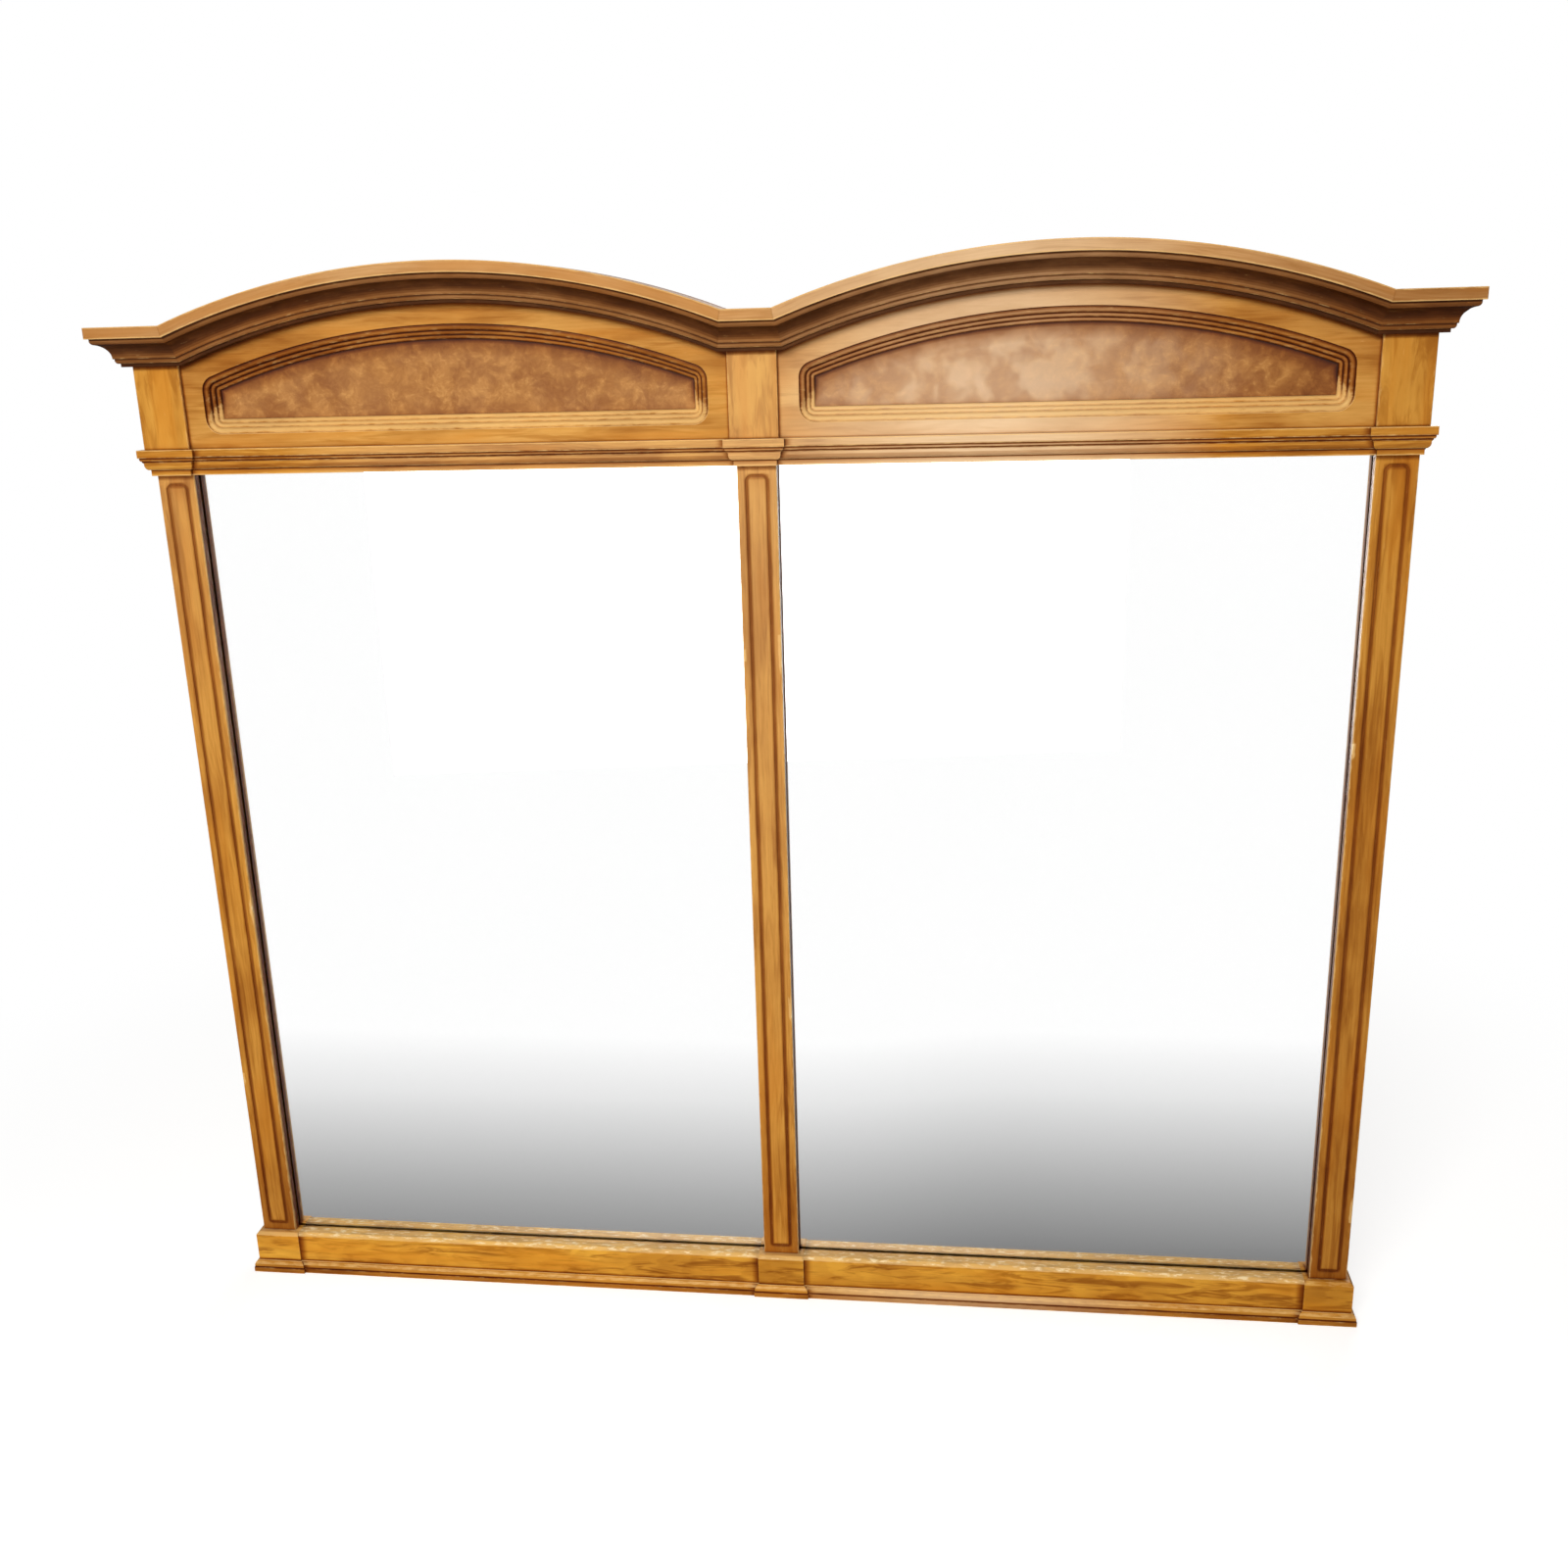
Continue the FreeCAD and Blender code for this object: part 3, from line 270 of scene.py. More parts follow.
class MirrorStage(bpy.types.PropertyGroup):
    """Floor and light of the picture."""

    floor: bpy.props.FloatVectorProperty(
        name="Floor", description="Colour of the pale floor",
        subtype="COLOR", size=3, min=0, max=1, default=(0.64, 0.64, 0.64))
    key_power: bpy.props.FloatProperty(
        name="Key light", description="Power of the large soft light above the front",
        subtype="POWER", unit="POWER", default=96.0, min=0)
    fill_power: bpy.props.FloatProperty(
        name="Fill light", description="Power of the low soft light in front",
        subtype="POWER", unit="POWER", default=30.0, min=0)
    back_power: bpy.props.FloatProperty(
        name="Back light", description="Power of the soft light that shows the back",
        subtype="POWER", unit="POWER", default=38.0, min=0)
    sky_strength: bpy.props.FloatProperty(
        name="Ambient light", description="Even light from all round",
        default=0.12, min=0, max=2)


# Node trees


class Bench:
    """Adds nodes to a tree and joins them as they are made."""

    def __init__(self, tree):
        self.tree = tree

    def feed(self, socket, value):
        """Joins another node's output to a socket, or sets the socket to a plain value."""
        if isinstance(value, bpy.types.NodeSocket):
            self.tree.links.new(value, socket)
        else:
            socket.default_value = value

    def node(self, kind, settings=None, inputs=None):
        """A node with its settings, and its inputs joined or set by name or number."""
        made = self.tree.nodes.new(kind)
        for name, value in (settings or {}).items():
            setattr(made, name, value)
        for name, value in (inputs or {}).items():
            self.feed(made.inputs[name], value)
        return made

    def maths(self, operation, *values, clamp=False):
        made = self.node("ShaderNodeMath", {"operation": operation, "use_clamp": clamp})
        for socket, value in zip(made.inputs, values):
            self.feed(socket, value)
        return made.outputs[0]

    def vector(self, operation, *values):
        made = self.node("ShaderNodeVectorMath", {"operation": operation})
        for socket, value in zip(made.inputs, values):
            self.feed(socket, value)
        single = operation in ("LENGTH", "DISTANCE", "DOT_PRODUCT")
        return made.outputs["Value" if single else "Vector"]

    def joined(self, x, y, z):
        made = self.node("ShaderNodeCombineXYZ")
        for socket, value in zip(made.inputs, (x, y, z)):
            self.feed(socket, value)
        return made.outputs[0]

    def parted(self, vector):
        return self.node("ShaderNodeSeparateXYZ", inputs={"Vector": vector}).outputs

    def span(self, value, low, high, to_low=0.0, to_high=1.0, smooth=True):
        """Maps low to high onto to_low to to_high, and holds it there."""
        made = self.node("ShaderNodeMapRange", {
            "interpolation_type": "SMOOTHSTEP" if smooth else "LINEAR", "clamp": True})
        for name, number in (("Value", value), ("From Min", low), ("From Max", high),
                             ("To Min", to_low), ("To Max", to_high)):
            self.feed(made.inputs[name], number)
        return made.outputs[0]

    def blended(self, amount, one, other, way="MIX"):
        """One colour, and more of the other as the amount grows."""
        # Among the sockets of a Mix node the two colours are 6 and 7, and their result is 2
        made = self.node("ShaderNodeMix", {"data_type": "RGBA", "blend_type": way,
                                           "clamp_factor": True})
        for index, value in ((0, amount), (6, one), (7, other)):
            self.feed(made.inputs[index], value)
        return made.outputs[2]

    def mottle(self, vector, scale, detail=2.0, roughness=0.5, distortion=0.0):
        """Noise from zero to one. A triple as the scale stretches it along the axes."""
        if isinstance(scale, tuple):
            vector, scale = self.vector("MULTIPLY", vector, scale), 1.0
        made = self.node("ShaderNodeTexNoise", inputs={
            "Vector": vector, "Scale": scale, "Detail": detail, "Roughness": roughness,
            "Distortion": distortion})
        return made.outputs[0]

    def stored(self, name, kind="FACTOR"):
        """A value that the piece's points carry."""
        made = self.node("ShaderNodeAttribute", {"attribute_name": name})
        return made.outputs["Vector" if kind == "VECTOR" else "Fac"]

    def glow(self, colour, strength=1.0):
        return self.node("ShaderNodeEmission", inputs={
            "Color": colour, "Strength": strength}).outputs[0]

    def merged(self, amount, one, other):
        """One shader, and more of the other as the amount grows."""
        made = self.node("ShaderNodeMixShader", inputs={0: amount})
        self.feed(made.inputs[1], one)
        self.feed(made.inputs[2], other)
        return made.outputs[0]

    def surface(self, shader, colour, roughness):
        """Gives a principled shader its colour and roughness."""
        self.feed(shader.inputs["Base Color"], colour)
        self.feed(shader.inputs["Roughness"], roughness)

    def bumps(self, shader, height, strength, distance):
        """Gives a principled shader its fine relief."""
        bump = self.node("ShaderNodeBump", inputs={
            "Strength": strength, "Distance": distance, "Height": height})
        self.feed(shader.inputs["Normal"], bump.outputs[0])


def new_material(name):
    """An empty material with a principled shader and its bench."""
    material = bpy.data.materials.new(name)
    material.use_nodes = True
    bench = Bench(material.node_tree)
    shader = material.node_tree.nodes["Principled BSDF"]
    return material, bench, shader


def rgba(colour):
    """A colour with a full alpha."""
    return (colour[0], colour[1], colour[2], 1.0)


WHITE = rgba((1.0, 1.0, 1.0))


# Finishes


def under_coats(bench, colour, coats, through):
    """A colour under so many coats of a dark tint that lets so much through; grain, glazing and
    painted shade all darken this way.
    """
    tint = bench.joined(*[bench.maths("POWER", share, coats) for share in through])
    return bench.vector("MULTIPLY", colour, tint)


def stained_wood(name, tones, rings, shares, flame):
    """Stained and lacquered wood. Grain runs along the first axis of the piece's stored
    grain vector. rings gives the growth rings as (width, how far the tree's middle lies
    across and through from the piece, how it leans), whose lean draws the arched figure of
    a flat-sawn board. shares are those of rings, fibres, streaks and clouds in the grain's
    darkness, and flame how often its streaks change along and across, and how they waver."""
    finish = bpy.context.scene.mirror_finish
    material, bench, shader = new_material(name)
    grain = bench.stored("grain", "VECTOR")
    glaze = bench.stored("glaze")
    wear = bench.stored("wear")
    stain = bench.stored("stain")
    light, dark, through = tones
    ring_width, pith_across, pith_through, lean = rings
    ring_share, fibre_share, streak_share, cloud_share = shares
    flame_along, flame_across, waver = flame

    # Growth rings, bent by slow drifts along the tree
    drift = bench.mottle(grain, (3.2, 9.0, 9.0), 2.0, 0.5)
    wobble = bench.mottle(grain, (16.0, 70.0, 70.0), 3.0, 0.6)
    along, across, inwards = bench.parted(grain)
    bent = bench.maths("MULTIPLY_ADD", bench.maths("SUBTRACT", drift, 0.5), 0.06, across)
    side = bench.maths("ADD", bent, pith_across)
    leant = bench.maths("MULTIPLY_ADD", along, lean, inwards)
    deep = bench.maths("ADD", leant, pith_through)
    radius = bench.vector("LENGTH", bench.joined(0.0, side, deep))
    turned = bench.maths("DIVIDE", radius, ring_width)
    turned = bench.maths("MULTIPLY_ADD", wobble, 1.3, turned)
    saw = bench.maths("FRACT", turned)
    late = bench.span(saw, 0.10, 0.86)
    early = bench.span(saw, 0.86, 1.0, 1.0, 0.0)
    ring = bench.maths("MULTIPLY", late, early)
    fainter = bench.mottle(grain, (5.0, 26.0, 26.0), 2.0, 0.5)
    ring = bench.maths("MULTIPLY", ring, bench.span(fainter, 0.30, 0.62, 0.35, 1.0))

    # Fibres, pores, flame-like streaks and cloudy stain
    fibre = bench.mottle(grain, (12.0, 520.0, 520.0), 3.0, 0.65)
    flames = (flame_along, flame_across, flame_across)
    streak = bench.mottle(grain, flames, 3.0, 0.6, waver)
    pores = bench.mottle(grain, (85.0, 1500.0, 1500.0), 1.0, 0.5)
    pore = bench.span(pores, 0.58, 0.72)
    cloud = bench.mottle(grain, (7.0, 22.0, 22.0), 3.0, 0.55)

    darkness = bench.maths("MULTIPLY", ring, ring_share)
    darkness = bench.maths("MULTIPLY_ADD", bench.span(fibre, 0.40, 0.74), fibre_share, darkness)
    darkness = bench.maths("MULTIPLY_ADD", bench.span(streak, 0.46, 0.68), streak_share, darkness)
    darkness = bench.maths("MULTIPLY_ADD", bench.span(cloud, 0.40, 0.70), cloud_share, darkness)
    darkness = bench.maths("MULTIPLY_ADD", pore, 0.06, darkness)

    # One full coat of stain turns the light wood into the dark one
    coat = [low / high for low, high in zip(dark, light)]
    colour = under_coats(bench, light, darkness, coat)
    warmth = bench.mottle(bench.vector("MULTIPLY", grain, (4.0, 30.0, 30.0)), 1.3, 2.0, 0.5)
    colour = bench.blended(bench.span(warmth, 0.42, 0.70, 0.0, 0.55), colour,
                           rgba((light[0] * 0.92, light[1] * 0.72, light[2] * 0.42)))

    # A stored value above zero deepens the colour, and one below zero makes it paler. It holds the
    # piece's staining together with painted light and shade along the mirror; below zero it is
    # painted light.
    deeper = bench.blended(1.0, colour, rgba((0.56, 0.42, 0.24)), "MULTIPLY")
    colour = bench.blended(stain, colour, deeper)
    pale = bench.maths("MULTIPLY", stain, -1.0, clamp=True)
    paler = bench.blended(bench.maths("MULTIPLY", darkness, 0.8, clamp=True),
                          rgba((0.84, 0.60, 0.37)), rgba((0.64, 0.40, 0.20)))
    colour = bench.blended(pale, colour, paler)

    # Dark glazing and painted shade in the corners, pale rubbed wood and painted highlights on the
    # edges
    patchy = bench.mottle(grain, (26.0, 90.0, 90.0), 3.0, 0.6)
    coats = bench.maths("MULTIPLY", glaze, bench.span(patchy, 0.25, 0.65, 0.78, 1.05))
    coats = bench.maths("MULTIPLY", coats, finish.glaze_and_shade_strength)
    colour = under_coats(bench, colour, coats, through)
    chipped = bench.mottle(grain, (75.0, 260.0, 260.0), 4.0, 0.6)
    gone = bench.maths("ADD", bench.maths("MULTIPLY", wear, 0.62), chipped)
    rubbed_and_lit = bench.span(gone, 0.62, 1.08, 0.0, finish.wear_and_highlight_strength)
    bare_and_highlight = bench.span(gone, 1.32, 1.5, 0.0, 0.9)
    paled = bench.blended(0.70, colour, rgba(finish.wear))
    colour = bench.blended(rubbed_and_lit, colour, paled)
    colour = bench.blended(bare_and_highlight, colour, rgba(finish.bare_and_highlight))

    rough = bench.maths("MULTIPLY_ADD", darkness, 0.08, 0.30)
    rough = bench.maths("MULTIPLY_ADD", coats, 0.15, rough, clamp=True)
    bench.surface(shader, colour, rough)
    shader.inputs["Specular IOR Level"].default_value = 0.16
    shader.inputs["Specular Tint"].default_value = (1.0, 0.80, 0.55, 1.0)
    relief = bench.maths("MULTIPLY_ADD", fibre, -0.5, bench.maths("MULTIPLY", pore, -0.8))
    relief = bench.maths("MULTIPLY_ADD", ring, -0.35, relief)
    relief = bench.maths("MULTIPLY_ADD", bare_and_highlight, -2.0, relief)
    bench.bumps(shader, relief, 0.16, 0.15 * MM)
    return material


def burl_veneer():
    """Mottled veneer: soft golden clouds with small flecks, painted shade towards its edges, and a
    painted pale sheen in the middle of the right bay.
    """
    finish = bpy.context.scene.mirror_finish
    material, bench, shader = new_material("burl_veneer")
    grain = bench.stored("grain", "VECTOR")
    glaze = bench.stored("glaze")
    stain = bench.stored("stain")
    push = bench.node("ShaderNodeTexNoise", inputs={
        "Vector": grain, "Scale": 34.0, "Detail": 2.0, "Roughness": 0.5})
    swirl = bench.vector("SUBTRACT", push.outputs["Color"], (0.5, 0.5, 0.5))
    swirl = bench.vector("MULTIPLY", swirl, (0.022, 0.022, 0.022))
    warped = bench.vector("ADD", grain, swirl)

    # Golden clouds, small flecks and bright sparks
    cloud = bench.mottle(warped, 62.0, 4.0, 0.55)
    patch = bench.mottle(grain, 14.0, 2.0, 0.5)
    flecks = bench.mottle(warped, (170.0, 230.0, 170.0), 3.0, 0.6)
    fine = bench.mottle(warped, 420.0, 2.0, 0.6)
    light = bench.maths("MULTIPLY_ADD", bench.span(cloud, 0.36, 0.66), 0.50,
                        bench.maths("MULTIPLY", bench.span(patch, 0.32, 0.68), 0.34))
    light = bench.maths("MULTIPLY_ADD", bench.span(flecks, 0.42, 0.66), 0.14, light)
    light = bench.maths("MULTIPLY_ADD", bench.span(fine, 0.35, 0.65), 0.08, light)
    light = bench.maths("SUBTRACT", light, 0.06, clamp=True)
    colour = bench.blended(light, rgba(finish.burl_dark), rgba(finish.burl_light))
    spark = bench.span(bench.maths("MULTIPLY", cloud, flecks), 0.28, 0.42, 0.0, 0.26)
    colour = bench.blended(spark, colour, rgba((0.66, 0.36, 0.11)))

    # The stored value is zero in the middle of a painted pool of light, where the burl is pale with
    # a painted sheen. It is one at the end of the pool on the right, where painted shade begins to
    # deepen the burl, and minus one on the left.
    pale = bench.span(bench.maths("ABSOLUTE", stain), 0.0, 1.0, 0.95, 0.0)
    broad = bench.mottle(warped, 26.0, 2.0, 0.5)
    painted_sheen = bench.blended(bench.span(broad, 0.38, 0.62), rgba((0.60, 0.38, 0.23)),
                          rgba((0.84, 0.61, 0.40)))
    colour = bench.blended(pale, colour, bench.blended(0.25, painted_sheen, colour))
    deeper = bench.blended(1.0, colour, rgba((0.62, 0.50, 0.40)), "MULTIPLY")
    colour = bench.blended(bench.span(stain, PLAIN_BURL, 1.12, 0.0, 0.9), colour, deeper)
    coats = bench.maths("MULTIPLY", glaze, finish.glaze_and_shade_strength)
    colour = under_coats(bench, colour, coats, finish.glaze)
    bench.surface(shader, colour, bench.maths("MULTIPLY_ADD", cloud, 0.10, 0.30))
    shader.inputs["Specular IOR Level"].default_value = 0.24
    shader.inputs["Specular Tint"].default_value = (1.0, 0.88, 0.74, 1.0)
    bench.bumps(shader, bench.maths("ADD", cloud, fine), 0.15, 0.2 * MM)
    return material


def object_place(bench):
    """Where a point lies on its object."""
    return bench.node("ShaderNodeTexCoord").outputs["Object"]


def plain_beech():
    """Pale beech with short flecks, for the dowels."""
    material, bench, shader = new_material("dowel_beech")
    place = object_place(bench)
    fleck = bench.mottle(place, (300.0, 700.0, 300.0), 3.0, 0.6)
    colour = bench.blended(bench.span(fleck, 0.35, 0.65), rgba((0.74, 0.55, 0.36)),
                           rgba((0.58, 0.39, 0.22)))
    bench.surface(shader, colour, bench.span(fleck, 0.3, 0.7, 0.55, 0.7))
    return material


def pressed_hardboard():
    """Brown pressed fibre with a smooth face."""
    material, bench, shader = new_material("hardboard")
    place = object_place(bench)
    fibre = bench.mottle(place, 420.0, 5.0, 0.75, 1.2)
    cloud = bench.mottle(place, 7.0, 3.0, 0.55)
    speck = bench.mottle(place, 1500.0, 1.0, 0.5)
    colour = bench.blended(bench.span(fibre, 0.35, 0.65), rgba((0.30, 0.165, 0.078)),
                           rgba((0.175, 0.088, 0.040)))
    colour = bench.blended(bench.span(cloud, 0.35, 0.7, 0.0, 0.35), colour,
                           rgba((0.24, 0.115, 0.05)))
    colour = bench.blended(bench.span(speck, 0.66, 0.76, 0.0, 0.4), colour,
                           rgba((0.42, 0.27, 0.15)))
    bench.surface(shader, colour, bench.span(fibre, 0.3, 0.7, 0.48, 0.66))
    bench.bumps(shader, fibre, 0.35, 0.2 * MM)
    return material


def metal(name, pale, dull, rough):
    """Metal with fine rubbing marks and a dull bloom."""
    material, bench, shader = new_material(name)
    place = object_place(bench)
    bloom = bench.mottle(place, 160.0, 4.0, 0.6)
    marks = bench.mottle(place, (900.0, 900.0, 3000.0), 2.0, 0.6)
    colour = bench.blended(bench.span(bloom, 0.4, 0.7), rgba(pale), rgba(dull))
    bench.surface(shader, colour, bench.span(marks, 0.3, 0.7, rough, rough + 0.16))
    shader.inputs["Metallic"].default_value = 1.0
    return material


def clear_glass():
    """Clear sheet glass with a few faint smears."""
    material, bench, shader = new_material("clear_glass")
    place = object_place(bench)
    smear = bench.mottle(place, (3.0, 3.0, 9.0), 4.0, 0.6)
    colour = bench.blended(bench.span(smear, 0.3, 0.7), WHITE, rgba((0.998, 1.0, 0.999)))
    bench.surface(shader, colour, bench.span(smear, 0.55, 0.8, 0.0, 0.004))
    shader.inputs["IOR"].default_value = 1.5
    shader.inputs["Transmission Weight"].default_value = 1.0
    return material


def silvering():
    """Bright silver behind the glass, with a little dull mottling."""
    material, bench, shader = new_material("mirror_silvering")
    place = object_place(bench)
    mottle = bench.mottle(place, 3.0, 3.0, 0.55)
    colour = bench.blended(bench.span(mottle, 0.3, 0.7), WHITE, rgba((0.996, 0.997, 0.996)))
    bench.surface(shader, colour, bench.span(mottle, 0.6, 0.85, 0.0, 0.003))
    shader.inputs["Metallic"].default_value = 1.0
    return material


FINISHES = {}


def finishes():
    """Makes each finish once."""
    if FINISHES:
        return FINISHES
    finish = bpy.context.scene.mirror_finish
    frame_tones = (finish.frame_light, finish.frame_dark, finish.glaze)
    rail_tones = (finish.rail_light, finish.frame_dark, finish.glaze)
    frieze_tones = (finish.frieze_light, finish.frieze_dark, finish.glaze)
    crown_tones = (finish.crown_light, finish.crown_dark, finish.crown_glaze_and_shade)
    # Each wood's use, tones, growth rings, shares in the grain's darkness, and flame
    woods = (
        ("post", frame_tones, (0.0046, 0.16, 0.05, 0.012), (0.10, 0.14, 0.34, 0.36),
         (8.0, 110.0, 0.6)),
        ("rail", rail_tones, (0.0080, 0.0, 0.05, 0.20), (0.10, 0.04, 0.60, 0.30),
         (13.0, 95.0, 1.0)),
        ("block", frame_tones, (0.0060, 0.03, 0.06, 0.05), (0.04, 0.04, 0.34, 0.36),
         (14.0, 75.0, 0.9)),
        ("moulding", frame_tones, (0.0040, 0.15, 0.03, 0.01), (0.14, 0.26, 0.34, 0.40),
         (9.0, 95.0, 0.5)),
        ("frieze", frieze_tones, (0.0044, 0.16, 0.05, 0.006), (0.06, 0.12, 0.32, 0.42),
         (10.0, 80.0, 0.6)),
        ("crown", crown_tones, (0.0042, 0.20, 0.06, 0.01), (0.12, 0.22, 0.30, 0.40),
         (9.0, 95.0, 0.5)),
    )
    for use, *recipe in woods:
        FINISHES[use] = stained_wood(f"{use}_wood", *recipe)
    FINISHES["burl"] = burl_veneer()
    FINISHES["beech"] = plain_beech()
    FINISHES["hardboard"] = pressed_hardboard()
    FINISHES["steel"] = metal("screw_steel", (0.62, 0.60, 0.55), (0.42, 0.40, 0.36), 0.32)
    FINISHES["brass"] = metal("insert_brass", (0.78, 0.58, 0.26), (0.50, 0.35, 0.14), 0.30)
    FINISHES["glass"] = clear_glass()
    FINISHES["silver"] = silvering()
    return FINISHES


# Profiles


def traced(steps, front, top):
    """Points (y, z) of a profile from its top front edge, its bends cut into short runs."""
    y, z = front, top
    points = [(y, z)]
    for _, run, drop, bend in steps:
        end_y, end_z = y + run * MM, z - drop * MM
        if bend:
            radius = abs(bend) * MM
            chord = Vector((end_y - y, end_z - z))
            rise = math.sqrt(radius ** 2 - (chord.length / 2) ** 2)
            side = Vector((-chord.y, chord.x)).normalized() * (rise if bend > 0 else -rise)
            centre = Vector((y, z)) + chord / 2 + side
            first = Vector((y, z)) - centre
            turn = first.angle_signed(Vector((end_y, end_z)) - centre)
            count = max(4, math.ceil(radius * abs(turn) / BEND_STEP))
            for number in range(1, count):
                angle = -turn * number / count
                spun = Vector((first.x * math.cos(angle) - first.y * math.sin(angle),
                               first.x * math.sin(angle) + first.y * math.cos(angle)))
                points.append(tuple(centre + spun))
        points.append((end_y, end_z))
        y, z = end_y, end_z
    return points


def softened(corners, radius, hollow_dark_reach=HOLLOW_DARK_REACH):
    """Rounds the corners of a closed outline, adds points near them, and gives each point
    as (y, z, dark coats, pale marks): glazing with painted shade darkens the hollow corners, and
    rubbing with painted highlights pales the edges."""
    count = len(corners)
    spots = [Vector(corner) for corner in corners]
    area = sum(spots[i - 1].cross(spots[i]) for i in range(count))
    turn_sign = 1 if area > 0 else -1
    outline = []
    for index, spot in enumerate(spots):
        before, after = spots[index - 1], spots[(index + 1) % count]
        into, out = spot - before, after - spot
        turn = into.angle_signed(out)
        # angle_signed counts a left turn as below zero
        left = -turn * turn_sign
        if abs(turn) < math.radians(ROUND_ANGLE):
            outline.append((spot, 0.0))
            continue
        reach_in = min(radius, into.length * 0.42)
        reach_out = min(radius, out.length * 0.42)
        start = spot - into.normalized() * reach_in
        stop = spot + out.normalized() * reach_out
        kind = 1.0 if left > 0 else -1.0
        for number in range(ROUND_POINTS):
            share = number / (ROUND_POINTS - 1)
            place = (start * (1 - share) ** 2 + spot * 2 * share * (1 - share)
                     + stop * share ** 2)
            outline.append((place, kind))
    # More points close to each corner, so that the dark and pale marks can fade away from it
    dense = []
    for index, (spot, _) in enumerate(outline):
        after = outline[(index + 1) % len(outline)][0]
        run = after - spot
        nearby = [reach * MM for reach in (0.6, 1.6, 3.2) if run.length > reach * MM * 2.2]
        dense.append(spot)
        dense += [spot + run.normalized() * reach for reach in nearby]
        dense += [after - run.normalized() * reach for reach in reversed(nearby)]
    hollows = [spot for spot, kind in outline if kind < 0]
    edges = [spot for spot, kind in outline if kind > 0]
    marked = []
    for spot in dense:
        to_hollow = min(((spot - other).length for other in hollows), default=1.0)
        to_edge = min(((spot - other).length for other in edges), default=1.0)
        glaze = 1.25 * max(0.0, 1 - to_hollow / (hollow_dark_reach * MM)) ** 1.3
        wear = max(0.0, 1 - to_edge / EDGE_PALE_REACH)
        marked.append((spot.x, spot.y, glaze, wear * max(0.0, 1 - glaze)))
    return marked


def shaded(outline, low, high, amount):
    """Adds an even dark coat to the points of an outline between two heights, and takes the pale
    marks away there; on the crown it is painted shade with glazing.
    """
    result = []
    for y, z, glaze, wear in outline:
        extra = amount if low <= z <= high else 0.0
        result.append((y, z, max(glaze, extra), wear * max(0.0, 1 - extra)))
    return result


# Moulded lengths


